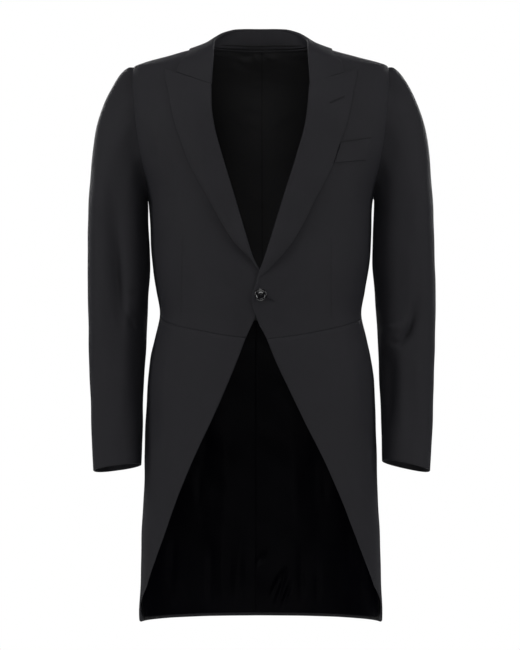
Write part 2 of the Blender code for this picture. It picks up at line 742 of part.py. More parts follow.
# Linings, seen through the neck and between the tails: thin satin just inside the cloth
LINING_CLEAR = 2.0
LINING_OUT = -(CLOTH + LINING_CLEAR)
BACK_LINING_SIDE = [
    Mark(101, -9),
    Mark(106, -60),
    Mark(113, -120),
    Mark(113, -190),
    Mark(101, -250),
    Mark(94, -340),
    Mark(92, -445),
]
BACK_LINING_NECK = [BACK_LINING_SIDE[0], Mark(130, -4), Mark(180, -2.5), Mark(230, -4), Mark(259, -9)]
BACK_LINING_WAIST = [BACK_LINING_SIDE[-1], Mark(180, -445), Mark(268, -445)]
BACK_LINING_COLUMNS, BACK_LINING_ROWS = 14, 12
OTHER_SIDE = 360


def turned(seam):
    """A seam's marks on the other side of the body."""
    return [Mark(OTHER_SIDE - mark.angle, mark.height) for mark in seam]


grid = patch(
    edge((BACK_LINING_NECK, BACK_LINING_COLUMNS)),
    edge((BACK_LINING_WAIST, BACK_LINING_COLUMNS)),
    edge((BACK_LINING_SIDE, BACK_LINING_ROWS)),
    edge((turned(BACK_LINING_SIDE), BACK_LINING_ROWS)),
)
add_panel("back_lining", LEFT, grid, SATIN, LINING_OUT, LINING)

SKIRT_LINING_ROWS, SKIRT_LINING_COLUMNS = 12, 12
LINING_FROM_EDGE = 15.0
LINING_WAIST = [Mark(31, -477), Mark(64, -463), Mark(120, -453), Mark(179.6, -451)]
LINING_CENTRE_FOOT = Mark(179.6, -934)
LINING_START = -489
LINING_FOOT = [Mark(84, -900), Mark(93, -918), Mark(99, -930), Mark(104, -934)]
for side, label in ((LEFT, "left"), (RIGHT, "right")):
    table = LEFT_CUTAWAY if side == LEFT else RIGHT_CUTAWAY
    edge_marks = [
        Mark(float(front_angle(row.across + LINING_FROM_EDGE, row.height)), row.height) for row in table
    ]
    edge_marks[0] = Mark(edge_marks[0].angle, LINING_START)
    grid = patch(
        edge(([edge_marks[0]] + LINING_WAIST, SKIRT_LINING_COLUMNS)),
        edge(([LINING_FOOT[-1], LINING_CENTRE_FOOT], SKIRT_LINING_COLUMNS)),
        edge((edge_marks + LINING_FOOT, SKIRT_LINING_ROWS)),
        edge(([LINING_WAIST[-1], LINING_CENTRE_FOOT], SKIRT_LINING_ROWS)),
    )
    add_panel("skirt_lining_" + label, side, grid, SATIN, LINING_OUT, LINING)

# Breast pocket welt, on the wearer's left, its inner end at the lapel's edge
WELT_TOP = [Across(128.0, -171.3), Across(152, -167), Across(176.9, -162.7)]
WELT_FOOT = [Across(116.8, -203.8), Across(143, -200.3), Across(170.3, -196.9)]
WELT_ROWS, WELT_COLUMNS = 3, 6
WELT_CLOTH, WELT_SEAT = 1.3, 0.5
top, foot = marks(WELT_TOP), marks(WELT_FOOT)
grid = patch(
    edge((top, WELT_COLUMNS)),
    edge((foot, WELT_COLUMNS)),
    edge(([top[0], foot[0]], WELT_ROWS)),
    edge(([top[-1], foot[-1]], WELT_ROWS)),
)
add_panel("breast_welt", LEFT, grid, WOOL, WELT_SEAT + WELT_CLOTH, WELT_CLOTH)

# Front button: a turned dish with a raised rim and four holes, seated on the left forepart
Turn = namedtuple("Turn", "radius rise")
BUTTON = [
    Turn(0.0, 2.1),
    Turn(6.2, 2.1),
    Turn(7.2, 2.9),
    Turn(8.4, 3.4),
    Turn(9.5, 3.0),
    Turn(10.0, 2.0),
    Turn(9.4, 1.0),
    Turn(6.5, 0.2),
    Turn(0.0, 0.0),
]
BUTTON_SIDES = 24
BUTTON_SEAT = 0.6
BUTTON_AT = Across(-0.2, -416)
HOLES, HOLE_RADIUS, HOLE_FROM_MIDDLE, HOLE_SIDES = 4, 0.9, 2.1, 8
HOLE_REACH = 6.0


def lathe(profile, sides):
    """Points and faces of a turned solid round its own Z axis."""
    points, faces = [], []
    for row in profile[1:-1]:
        for k in range(sides):
            turn = 2 * np.pi * k / sides
            points.append((row.radius * np.cos(turn), row.radius * np.sin(turn), row.rise))
    for r in range(len(profile) - 3):
        for k in range(sides):
            n = (k + 1) % sides
            faces.append([r * sides + k, r * sides + n, (r + 1) * sides + n, (r + 1) * sides + k])
    points += [(0, 0, profile[0].rise), (0, 0, profile[-1].rise)]
    top, base, last = len(points) - 2, len(points) - 1, (len(profile) - 3) * sides
    for k in range(sides):
        n = (k + 1) % sides
        faces += [[top, n, k], [base, last + k, last + n]]
    return np.array(points, float), faces


def seated(points, mark, out):
    """Points of a small fitting set on the body, its own Z along the cloth's outward direction."""
    foot = body(mark.angle, mark.height)
    away = unit(body(mark.angle, mark.height, out=1.0) - foot)
    right = unit(np.cross((0, 0, 1), away)) * -1
    up = np.cross(right, away) * -1
    return foot + away * out + points @ np.array([right, up, away])


at = Mark(float(front_angle(BUTTON_AT.across, BUTTON_AT.height)), BUTTON_AT.height)
points, faces = lathe(BUTTON, BUTTON_SIDES)
button = add_object("front_button", seated(points, at, BUTTON_SEAT), faces, GLOSS)
cylinder = [
    Turn(0, HOLE_REACH),
    Turn(HOLE_RADIUS, HOLE_REACH),
    Turn(HOLE_RADIUS, -HOLE_REACH),
    Turn(0, -HOLE_REACH),
]
for k in range(HOLES):
    turn = 2 * np.pi * (k + 0.5) / HOLES
    points, faces = lathe(cylinder, HOLE_SIDES)
    points = points + (HOLE_FROM_MIDDLE * np.cos(turn), HOLE_FROM_MIDDLE * np.sin(turn), 0)
    hole = add_object("button_hole_cutter", seated(points, at, BUTTON_SEAT), faces, GLOSS)
    hole.hide_render = True
    cut = button.modifiers.new("hole", "BOOLEAN")
    cut.operation, cut.solver, cut.object = "DIFFERENCE", "EXACT", hole
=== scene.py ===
from collections import namedtuple

import bpy
import numpy as np
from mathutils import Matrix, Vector


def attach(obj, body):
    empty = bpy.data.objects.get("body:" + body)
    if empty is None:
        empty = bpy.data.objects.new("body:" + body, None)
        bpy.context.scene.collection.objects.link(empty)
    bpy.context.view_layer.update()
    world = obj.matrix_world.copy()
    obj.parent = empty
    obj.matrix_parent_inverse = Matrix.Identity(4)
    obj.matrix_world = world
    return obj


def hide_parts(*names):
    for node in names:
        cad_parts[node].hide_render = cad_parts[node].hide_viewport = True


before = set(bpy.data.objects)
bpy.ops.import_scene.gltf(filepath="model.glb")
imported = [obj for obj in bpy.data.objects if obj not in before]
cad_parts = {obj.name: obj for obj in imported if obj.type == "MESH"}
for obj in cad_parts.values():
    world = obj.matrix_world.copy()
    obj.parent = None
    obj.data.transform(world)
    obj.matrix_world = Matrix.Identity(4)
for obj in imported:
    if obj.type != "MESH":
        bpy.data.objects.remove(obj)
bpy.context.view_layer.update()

MM = 0.001
NAPE_BEHIND_MIDDLE = 62.0
WHITE, ROOM_LIGHT = (1, 1, 1, 1), 0.004
FLOOR_BELOW, FLOOR_RADIUS, FLOOR_SIDES = 1.5, 1.7, 64
FLOOR_COLOUR, FLOOR_ROUGHNESS = (0.86, 0.86, 0.85, 1), 0.8
CAMERA_AT, CAMERA_LENS = (-0.0013, -3.462, -0.464), 113.4
# Each lamp: name, place in metres, width, height, watts.
LAMPS = [
    ("left_softbox", -2.64, -1.25, 0.36, 1.1, 1.8, 42.0),
    ("right_softbox", 2.55, -1.45, 0.36, 1.1, 1.8, 41.0),
    ("front_softbox", -0.4, -2.55, 1.30, 1.4, 0.9, 8.0),
    ("top_softbox", 0.0, -0.85, 2.42, 1.6, 1.0, 26.0),
    ("low_softbox", 0.0, -2.80, -1.35, 1.2, 0.6, 14.0),
    ("left_side_softbox", -2.59, 0.16, 1.04, 1.0, 1.5, 5.0),
    ("right_side_softbox", 2.59, 0.16, 1.04, 1.0, 1.5, 5.0),
    ("left_back_softbox", -1.36, 2.29, 0.80, 1.0, 1.5, 34.0),
    ("right_back_softbox", 1.36, 2.29, 0.80, 1.0, 1.5, 34.0),
]


def feed(tree, node, sockets):
    """Give a node's sockets what they need: a link from another node, or a plain value."""
    for label, value in sockets.items():
        if isinstance(value, bpy.types.NodeSocket):
            tree.links.new(value, node.inputs[label])
        else:
            node.inputs[label].default_value = value


def add_node(tree, kind, sockets=(), operation=None, output=0):
    """A new node with its sockets fed, giving one of its outputs."""
    node = tree.nodes.new("ShaderNode" + kind)
    if operation:
        node.operation = operation
    feed(tree, node, dict(sockets))
    return node.outputs[output]


def reckon(tree, operation, first, second=0.0):
    """A sum of two sockets or plain numbers."""
    return add_node(tree, "Math", {0: first, 1: second}, operation)


scene = bpy.context.scene
scene.view_settings.view_transform = "Standard"
world = bpy.data.worlds.new("white_studio")
world.use_nodes = True
sky = world.node_tree
backdrop = add_node(sky, "LightPath", output="Is Camera Ray")
brightness = reckon(sky, "MAXIMUM", ROOM_LIGHT, backdrop)
feed(sky, sky.nodes["Background"], {"Color": WHITE, "Strength": brightness})
scene.world = world

coat_middle = Vector((0, -NAPE_BEHIND_MIDDLE * MM, CAMERA_AT[2]))
for name, x, y, z, width, height, watts in LAMPS:
    lamp = bpy.data.lights.new(name, "AREA")
    lamp.shape = "RECTANGLE"
    lamp.size, lamp.size_y, lamp.energy = width, height, watts
    holder = bpy.data.objects.new(name, lamp)
    holder.location = (x, y, z)
    holder.rotation_euler = (coat_middle - holder.location).to_track_quat("-Z", "Y").to_euler()
    scene.collection.objects.link(holder)

camera = bpy.data.objects.new("camera", bpy.data.cameras.new("camera"))
camera.data.lens = CAMERA_LENS
camera.location = CAMERA_AT
camera.rotation_euler = (np.pi / 2, 0, 0)
scene.collection.objects.link(camera)
scene.camera = camera

floor_mesh = bpy.data.meshes.new("pale_floor")
turns = [2 * np.pi * k / FLOOR_SIDES for k in range(FLOOR_SIDES)]
rim = [(FLOOR_RADIUS * np.cos(turn), FLOOR_RADIUS * np.sin(turn), -FLOOR_BELOW) for turn in turns]
floor_mesh.from_pydata(rim, [], [range(FLOOR_SIDES)])
pale = bpy.data.materials.new("pale_floor")
pale.use_nodes = True
shader = pale.node_tree.nodes["Principled BSDF"]
feed(pale.node_tree, shader, {"Base Color": FLOOR_COLOUR, "Roughness": FLOOR_ROUGHNESS})
floor_mesh.materials.append(pale)
pale_floor = bpy.data.objects.new("pale_floor", floor_mesh)
scene.collection.objects.link(pale_floor)

# Cloth: the wool is a fine black worsted in a close twill, with a soft nap that dulls it and
# catches the light at a glancing angle. The lining is a thin smooth satin, woven much finer.
FUZZ_SCALE, SLUB_SCALE, HAND_SCALE = 1400.0, 160.0, 17.0
TWILL_THREADS, TWILL_RELIEF, CROSSING_RELIEF, FUZZ_RELIEF = 3.0, 0.5, 0.35, 1.2
THREAD_SHADE = 0.12
SHEEN_ROUGHNESS, SHEEN_TINT = 0.45, (0.80, 0.85, 1.0, 1)
Cloth = namedtuple("Cloth", "colour roughness nap thread mottle relief specular sheen")
WORSTED = Cloth((0.0110, 0.0106, 0.0134), 0.66, 0.14, 0.55, 0.26, 0.00012, 0.22, 0.02)
SATIN = Cloth((0.0150, 0.0148, 0.0158), 0.50, 0.10, 0.16, 0.10, 0.00003, 0.10, 0.0)


def reckon_vector(tree, operation, first, second, output="Vector"):
    """A sum of two vectors, from sockets or plain values."""
    return add_node(tree, "VectorMath", {0: first, 1: second}, operation, output)


def speckle(tree, place, scale, detail=3.0):
    """Random flecks over a place, between 0 and 1."""
    return add_node(tree, "TexNoise", {"Vector": place, "Scale": scale, "Detail": detail}, output="Fac")


def new_group(name, vectors, numbers, results):
    """An empty group of nodes with named sockets, what it is given and its output node."""
    group = bpy.data.node_groups.new(name, "ShaderNodeTree")
    for labels, kind in ((vectors, "NodeSocketVector"), (numbers, "NodeSocketFloat")):
        for label in labels:
            group.interface.new_socket(label, in_out="INPUT", socket_type=kind)
    for label in results:
        group.interface.new_socket(label, in_out="OUTPUT", socket_type="NodeSocketFloat")
    return group, group.nodes.new("NodeGroupInput").outputs, group.nodes.new("NodeGroupOutput")


weave, given, made = new_group(
    "woven_cloth", ["Thread place", "Coat place"], ["Thread", "Mottle"], ["Shade", "Height", "Nap"]
)
split = weave.nodes.new("ShaderNodeSeparateXYZ")
feed(weave, split, {0: given["Thread place"]})
across_warp, down_weft = split.outputs["X"], split.outputs["Y"]
turns = reckon(weave, "DIVIDE", 2 * np.pi, given["Thread"])
warp = reckon(weave, "SINE", reckon(weave, "MULTIPLY", across_warp, turns))
weft = reckon(weave, "SINE", reckon(weave, "MULTIPLY", down_weft, turns))
slant = reckon(weave, "ADD", across_warp, down_weft)
slant = reckon(weave, "MULTIPLY", slant, reckon(weave, "DIVIDE", turns, TWILL_THREADS))
twill = reckon(weave, "MULTIPLY", reckon(weave, "SINE", slant), TWILL_RELIEF)
crossing = reckon(weave, "MULTIPLY", reckon(weave, "MULTIPLY", warp, weft), CROSSING_RELIEF)
threads = reckon(weave, "ADD", twill, crossing)
fuzz = speckle(weave, given["Coat place"], FUZZ_SCALE)
slub = speckle(weave, given["Coat place"], SLUB_SCALE)
hand = speckle(weave, given["Coat place"], HAND_SCALE, 2.0)
patchy = reckon(weave, "SUBTRACT", reckon(weave, "ADD", slub, hand), 1.0)
patchy = reckon(weave, "ADD", reckon(weave, "MULTIPLY", patchy, given["Mottle"]), 1.0)
shade = reckon(weave, "ADD", patchy, reckon(weave, "MULTIPLY", threads, THREAD_SHADE))
relief = reckon(weave, "ADD", threads, reckon(weave, "MULTIPLY", fuzz, FUZZ_RELIEF))
feed(weave, made, {"Shade": shade, "Height": relief, "Nap": fuzz})

# A line across the cloth, 1 on it and falling to 0 at its half width: it darkens and sinks seams, and paints
# shade into slits and creases.
sewn, given, made = new_group("seam_and_painted_shade_line", ["Coat place", "Start", "Run"], ["Half width"], ["Line"])
away = reckon_vector(sewn, "SUBTRACT", given["Coat place"], given["Start"])
away = reckon_vector(sewn, "MULTIPLY", away, (1, 0, 1))
share = reckon_vector(sewn, "DOT_PRODUCT", away, given["Run"], "Value")
whole = reckon_vector(sewn, "DOT_PRODUCT", given["Run"], given["Run"], "Value")
share = reckon(sewn, "MAXIMUM", reckon(sewn, "DIVIDE", share, whole), 0.0)
share = reckon(sewn, "MINIMUM", share, 1.0)
nearest = add_node(sewn, "VectorMath", {0: given["Run"], "Scale": share}, "SCALE")
off_line = reckon_vector(sewn, "SUBTRACT", away, nearest)
off_line = reckon(sewn, "SQRT", reckon_vector(sewn, "DOT_PRODUCT", off_line, off_line, "Value"))
off_line = reckon(sewn, "DIVIDE", off_line, given["Half width"])
feed(sewn, made, {"Line": reckon(sewn, "MAXIMUM", reckon(sewn, "SUBTRACT", 1.0, off_line), 0.0)})


def cloth_material(name, cloth, seams_and_painted_shade=()):
    """A woven material, with lines sewn or cut in it.

    A line is given as seen from the front, in millimetres: its two ends, its half width, how much
    darker it is painted in its middle and how deep. Seams are drawn so, and so is painted shade in
    slits, in a pocket's mouth and along a crease.
    """
    material = bpy.data.materials.new(name)
    material.use_nodes = True
    tree = material.node_tree
    shader = tree.nodes["Principled BSDF"]
    coat = add_node(tree, "TexCoord", output="Object")
    woven = tree.nodes.new("ShaderNodeGroup")
    woven.node_tree = weave
    threads = add_node(tree, "UVMap")
    feed(tree, woven, {"Thread place": threads, "Coat place": coat})
    feed(tree, woven, {"Thread": cloth.thread, "Mottle": cloth.mottle})
    shade, height = woven.outputs["Shade"], woven.outputs["Height"]
    for x0, z0, x1, z1, half_width, darker, depth in seams_and_painted_shade:
        line = tree.nodes.new("ShaderNodeGroup")
        line.node_tree = sewn
        run = ((x1 - x0) * MM, 0, (z1 - z0) * MM)
        feed(tree, line, {"Coat place": coat, "Start": (x0 * MM, 0, z0 * MM), "Run": run})
        feed(tree, line, {"Half width": half_width * MM})
        # Each line darkens the cloth's colour along it; for the slits, the pocket mouth and the crease this
        # is painted shade.
        shade = reckon(tree, "SUBTRACT", shade, reckon(tree, "MULTIPLY", line.outputs[0], darker))
        height = reckon(tree, "SUBTRACT", height, reckon(tree, "MULTIPLY", line.outputs[0], depth))
    tint = add_node(tree, "VectorMath", {0: cloth.colour, "Scale": shade}, "SCALE")
    rough = reckon(tree, "MULTIPLY", woven.outputs["Nap"], cloth.nap)
    rough = reckon(tree, "ADD", rough, cloth.roughness - cloth.nap / 2)
    bump = add_node(tree, "Bump", {"Distance": cloth.relief, "Height": height})
    feed(tree, shader, {"Base Color": tint, "Roughness": rough, "Normal": bump})
    feed(tree, shader, {"Specular IOR Level": cloth.specular, "Sheen Weight": cloth.sheen})
    feed(tree, shader, {"Sheen Roughness": SHEEN_ROUGHNESS, "Sheen Tint": SHEEN_TINT})
    return material


# Foreparts: black wool over canvas, from the shoulder to the waist seam, each taken in by one
# front dart. The left laps over the right, and the cloth hangs from the shoulders.
LEFT, RIGHT = 1, -1
SIDES = ((LEFT, "left"), (RIGHT, "right"))
CLOTH = 2.0

# Rings round the body: height, half width, depth in front, depth behind, squareness.
BODY = [
    (6, 66, 28, 56, 2.05),
    (0, 87.5, 38, 62, 2.05),
    (-8, 116.6, 46, 69, 2.1),
    (-20, 160.3, 56, 78, 2.15),
    (-30, 196, 63, 86, 2.25),
    (-36, 210, 67, 90, 2.3),
    (-50, 214, 76, 99, 2.4),
    (-76, 215.5, 91, 110, 2.5),
    (-108, 216.5, 106, 119, 2.6),
    (-130, 216, 113, 123, 2.6),
    (-168, 212, 119, 127, 2.6),
    (-200, 203.5, 122, 128, 2.6),
    (-225, 194.5, 123.5, 127, 2.6),
    (-245, 188.5, 124, 126, 2.6),
    (-265, 185.3, 124.5, 124.5, 2.56),
    (-300, 183.2, 125, 120, 2.5),
    (-340, 181.5, 127, 114, 2.4),
    (-376, 178.2, 128, 108, 2.35),
    (-410, 173, 127.5, 103, 2.3),
    (-446, 167.5, 126, 99, 2.3),
    (-486, 175, 125, 101, 2.3),
    (-519, 182.6, 124.5, 104, 2.3),
    (-560, 188, 124, 106, 2.3),
    (-638, 191.2, 123, 106, 2.25),
    (-718, 193.2, 122, 103, 2.25),
    (-798, 197.2, 121, 100, 2.2),
    (-877, 199.2, 120, 96, 2.2),
    (-956, 203, 118, 90, 2.2),
    (-970, 203.5, 118, 90, 2.2),
]


def smooth(knots, values, at):
    """A curve through the values that never overshoots them, read at the places asked for."""
    knots, values, at = np.asarray(knots, float), np.asarray(values, float), np.asarray(at, float)
    step = np.diff(knots)
    slope = np.diff(values) / step
    turn = np.concatenate([slope[:1], np.zeros(len(slope) - 1), slope[-1:]])
    for i in range(1, len(slope)):
        if slope[i - 1] * slope[i] > 0:
            near, far = 2 * step[i] + step[i - 1], step[i] + 2 * step[i - 1]
            turn[i] = (near + far) / (near / slope[i - 1] + far / slope[i])
    k = np.clip(np.searchsorted(knots, at) - 1, 0, len(step) - 1)
    t = (at - knots[k]) / step[k]
    back = 1 - t
    return (
        (1 + 2 * t) * back**2 * values[k]
        + t * back**2 * step[k] * turn[k]
        + t**2 * (3 - 2 * t) * values[k + 1]
        - t**2 * back * step[k] * turn[k + 1]
    )


def read(table, at):
    """The other columns of a table, smoothly, where its first column has the values asked for."""
    table = np.array(sorted(table), float)
    return [smooth(table[:, 0], column, at) for column in table.T[1:]]


LEAST_LENGTH = 1e-9


def unit(vectors):
    """The same directions, each 1 long."""
    return vectors / np.maximum(np.linalg.norm(vectors, axis=-1, keepdims=True), LEAST_LENGTH)


SLOPE_STEP = 0.5


def body_level(points):
    """1 on the outer face of the coat's body, less inside it and more outside."""
    x, y, height = np.moveaxis(points, -1, 0)
    half, front, back, power = read(BODY, height)
    return (np.abs(x) / half) ** power + (np.abs(y) / np.where(y < 0, front, back)) ** power


def plain_body(angle, height):
    """Points and outward directions round the body: 0 is the front centre, 180 the centre back."""
    angle, height = np.broadcast_arrays(np.asarray(angle, float), np.asarray(height, float))
    half, front, back, power = read(BODY, height)
    s, c = np.sin(np.radians(angle)), np.cos(np.radians(angle))
    x = half * np.sign(s) * np.abs(s) ** (2 / power)
    y = -np.where(c > 0, front, back) * np.sign(c) * np.abs(c) ** (2 / power)
    points = np.stack([x, y, height], axis=-1)
    slopes = [body_level(points + step) - body_level(points - step) for step in SLOPE_STEP * np.eye(3)]
    return points, unit(np.stack(slopes, axis=-1))


def front_angle(across, height):
    """The angle of a point on the front, from its distance across from the centre line."""
    half, _, _, power = read(BODY, height)
    share = np.clip(np.abs(across) / half, 0, 1) ** (power / 2)
    return np.degrees(np.arcsin(share)) * np.sign(across)


def ease(share):
    """From 0 to 1, starting and ending gently."""
    share = np.clip(share, 0, 1)
    return share**2 * (3 - 2 * share)


# Folds drawn in the front or back view. Each has the three places of its bend, its width from
# and to, the share of its length where it is highest, and its rise, which is negative inwards.
FRONT_FOLDS = [
    (-144, -190, -146, -235, -142, -285, 3.0, 4.0, 0.5, -0.35),
    (-172, -120, -168, -180, -158, -250, 7.0, 10.0, 0.5, 0.9),
    (170, -120, 166, -175, 158, -245, 8.0, 10.0, 0.5, 0.8),
    (-6, -424, -50, -408, -118, -372, 4.0, 12.0, 0.25, -0.7),
    (-6, -432, -60, -432, -124, -418, 4.0, 12.0, 0.3, 0.5),
    (12, -420, 60, -402, 120, -366, 4.0, 12.0, 0.25, -0.6),
    (-155, -478, -157, -600, -156, -730, 8.0, 11.0, 0.4, 1.3),
    (-172, -490, -174, -600, -176, -720, 6.0, 8.0, 0.4, -1.2),
    (146, -480, 149, -580, 150, -700, 8.0, 11.0, 0.4, 1.3),
    (166, -500, 169, -560, 172, -640, 6.0, 7.0, 0.5, -1.4),
    (-163, -684, -153, -692, -143, -704, 2.6, 2.6, 0.5, -0.5),
    (-166, -694, -156, -703, -148, -715, 2.6, 2.6, 0.5, 0.5),
    (140, -690, 149, -696, 158, -707, 2.6, 2.6, 0.5, -0.5),
    (141, -700, 150, -707, 160, -716, 2.6, 2.6, 0.5, 0.5),
    (-196, -905, -186, -930, -182, -958, 5.0, 6.0, 0.7, 1.0),
    (194, -900, 186, -928, 180, -958, 5.0, 6.0, 0.7, 1.0),
]
BACK_FOLDS = [
    (-158, -110, -152, -180, -140, -250, 8.0, 11.0, 0.5, 1.6),
    (156, -105, 150, -175, 142, -245, 8.0, 11.0, 0.5, 1.5),
    (-70, -398, -20, -412, 30, -400, 5.0, 7.0, 0.5, -0.8),
    (-40, -420, 15, -428, 74, -415, 5.0, 7.0, 0.5, 0.7),
    (-52, -470, -58, -640, -66, -900, 10.0, 16.0, 0.7, 1.6),
    (50, -470, 58, -650, 62, -910, 10.0, 16.0, 0.7, 1.6),
    (-118, -470, -130, -620, -140, -860, 10.0, 16.0, 0.6, 1.8),
    (120, -470, 130, -640, 142, -880, 10.0, 16.0, 0.6, 1.7),
    (-86, -500, -96, -650, -104, -900, 9.0, 14.0, 0.6, -1.2),
    (86, -500, 96, -650, 100, -900, 9.0, 14.0, 0.6, -1.2),
]
FOLD_STEPS = 14
FOLD_REACH, FOLD_FADE = 3.0, 2.0
WAVES, WAVE_LENGTHS, WAVE_HEIGHT = 9, (38, 120), 0.16


def folded(points, table):
    """How far the folds of a table lift the cloth at points seen in their view."""
    across, height = points[..., 0], points[..., 2]
    lift = np.zeros(across.shape)
    t = np.linspace(0, 1, FOLD_STEPS + 1)[:, None]
    for *bend, width_from, width_to, peak, rise in table:
        bend = np.array(bend).reshape(3, 2)
        line = (1 - t) ** 2 * bend[0] + 2 * t * (1 - t) * bend[1] + t**2 * bend[2]
        reach = FOLD_REACH * max(width_from, width_to)
        low, high = line.min(axis=0) - reach, line.max(axis=0) + reach
        near = (across > low[0]) & (across < high[0]) & (height > low[1]) & (height < high[1])
        place = np.stack([across[near], height[near]], axis=-1)
        best = np.full(len(place), np.inf)
        where = np.zeros(len(place))
        for k in range(FOLD_STEPS):
            run = line[k + 1] - line[k]
            share = np.clip(((place - line[k]) @ run) / (run @ run), 0, 1)
            gap = ((place - line[k] - share[:, None] * run) ** 2).sum(axis=-1)
            closer = gap < best
            best = np.where(closer, gap, best)
            where = np.where(closer, (k + share) / FOLD_STEPS, where)
        width = width_from + (width_to - width_from) * where
        fade = np.where(where < peak, where / peak, (1 - where) / (1 - peak))
        lift[near] += rise * np.exp(-best / width**2) * ease(fade)
    return lift


def draped(points, away, in_front, front_folds, back_folds, fade):
    """The lift of the front and back views' folds, fading where the cloth turns edge on to them."""
    lift = np.where(in_front, folded(points, front_folds), folded(points, back_folds))
    return lift * ease(np.abs(away[..., 1]) * fade)


waves = np.random.default_rng(11)
wave_runs = waves.normal(size=(WAVES, 3))
wave_runs *= (2 * np.pi / waves.uniform(*WAVE_LENGTHS, WAVES) / np.linalg.norm(wave_runs, axis=1))[:, None]
wave_starts = waves.uniform(0, 2 * np.pi, WAVES)


def uneven(points):
    """The slight unevenness of hanging cloth, the same on both sides of a seam."""
    return WAVE_HEIGHT * np.sin(points @ wave_runs.T + wave_starts).sum(axis=-1)


def body(angle, height, side=LEFT, out=0.0):
    """Points of the coat's body with its folds, moved out from it by a distance."""
    points, away = plain_body(angle, height)
    points, away = points * (side, 1, 1), away * (side, 1, 1)
    lift = draped(points, away, points[..., 1] < 0, FRONT_FOLDS, BACK_FOLDS, FOLD_FADE) + uneven(points)
    return points + away * (lift + out)[..., None]


# A place on the body is an angle round it and a height, and a seam is a list of places. An edge
# drawn in the front view is a list of distances across and heights.
SIDE_NECK = (90, 1.2)
SHOULDER_TIP = (90, -36)
UNDERARM = (84, -247)
SIDE_WAIST = (81, -453)
SHOULDER_SEAM = [SIDE_NECK, SHOULDER_TIP]
ARMHOLE_FRONT = [
    SHOULDER_TIP, (80.5, -48.5), (77.2, -76), (71.5, -108), (68.8, -140), (68.4, -175),
    (72.5, -213), (78, -234), UNDERARM,
]
SIDE_SEAM = [UNDERARM, (82.5, -300), (81.3, -380), SIDE_WAIST]
# How far the closed front moves to the right: height, the roll line and the lapel's edge.
OF_ROLL, OF_EDGE = 0, 1
CLOSING = [(-376, 3.6, -5.0), (-180, 2.4, 0.0), (-110, 2.0, 0.0), (-50, 0.0, 0.0)]
ROLL = [
    (79.0, -76), (77.3, -106), (74.8, -129), (70.7, -151), (64.4, -174), (58.0, -196), (51.0, -219),
    (44.0, -241), (37.0, -264), (30.4, -286), (23.8, -308), (16.8, -331),
]
ROLL_FOOT = {
    LEFT: [(6.3, -353), (3.4, -362), (0.3, -370), (-2.6, -377), (-5.2, -386)],
    RIGHT: [(13.3, -353), (9.4, -362), (4.0, -371), (-1.0, -379), (-4.0, -386)],
}
FRONT_NECK = [(84.5, -4), (84.8, -14), (84.4, -30), (83.6, -50)]
FRONT_EDGE = {
    LEFT: [(-9, -400), (-14.3, -421), (-12.8, -435), (-8.3, -448), (1, -470), (9.6, -486.5)],
    RIGHT: [(-11, -405), (-9, -421), (-5, -430), (1, -440), (9, -453), (24.5, -485)],
}
FRONT_WAIST = [(18, -480), (31, -473.5), (46, -467), (64, -459)]


def closing_shift(height, column=OF_ROLL):
    """How far the roll line, or the lapel's edge, has moved to the coat's right at a height."""
    heights, *shifts = np.array(CLOSING).T
    return np.interp(height, heights, shifts[column])


def places(table, side=LEFT, shifted=False, out=0.0):
    """A front view's edge, turned into places on one side of the coat."""
    found = []
    for across, height in table:
        across += out - (side * closing_shift(height) if shifted else 0)
        found.append((float(front_angle(across, height)), height))
    return found


FINE_STEPS = 8
EDGE_FADES = 4


def lengths(points):
    """How far along a row of points each one is."""
    return np.concatenate([[0], np.cumsum(np.linalg.norm(np.diff(points, axis=0), axis=1))])


def along(seam, steps):
    """Angles and heights evenly spaced along a seam: a smooth curve through its places."""
    angle, height = np.array(seam, float).T
    length = lengths(plain_body(angle, height)[0])
    fine = np.linspace(0, length[-1], FINE_STEPS * steps + 1)
    angle, height = smooth(length, angle, fine), smooth(length, height, fine)
    run = lengths(plain_body(angle, height)[0])
    even = np.linspace(0, run[-1], steps + 1)
    return np.stack([np.interp(even, run, angle), np.interp(even, run, height)], axis=-1)


def edge(*seams):
    """One edge of a piece, from (seam, steps) pairs laid end to end."""
    runs = [along(seam, steps) for seam, steps in seams]
    return np.concatenate([runs[0]] + [run[1:] for run in runs[1:]])


def patch(top, bottom, front, back):
    """The grid of angles and heights that fills the four edges of a piece."""
    r = np.linspace(0, 1, len(front))[:, None, None]
    s = np.linspace(0, 1, len(top))[None, :, None]
    straight = (1 - s) * front[:, None] + s * back[:, None]
    from_top = (1 - r) ** EDGE_FADES * (top[None] - straight[:1])
    from_bottom = r**EDGE_FADES * (bottom[None] - straight[-1:])
    return straight + from_top + from_bottom


SEAM_GAP, MOST_OF_SQUARE = 0.02, 0.45
EDGE_ROUNDING, SEAM_ROUNDING = 0.8, 0.3
SHARP_TURN = 1.2
ROUNDING_STEPS = 4


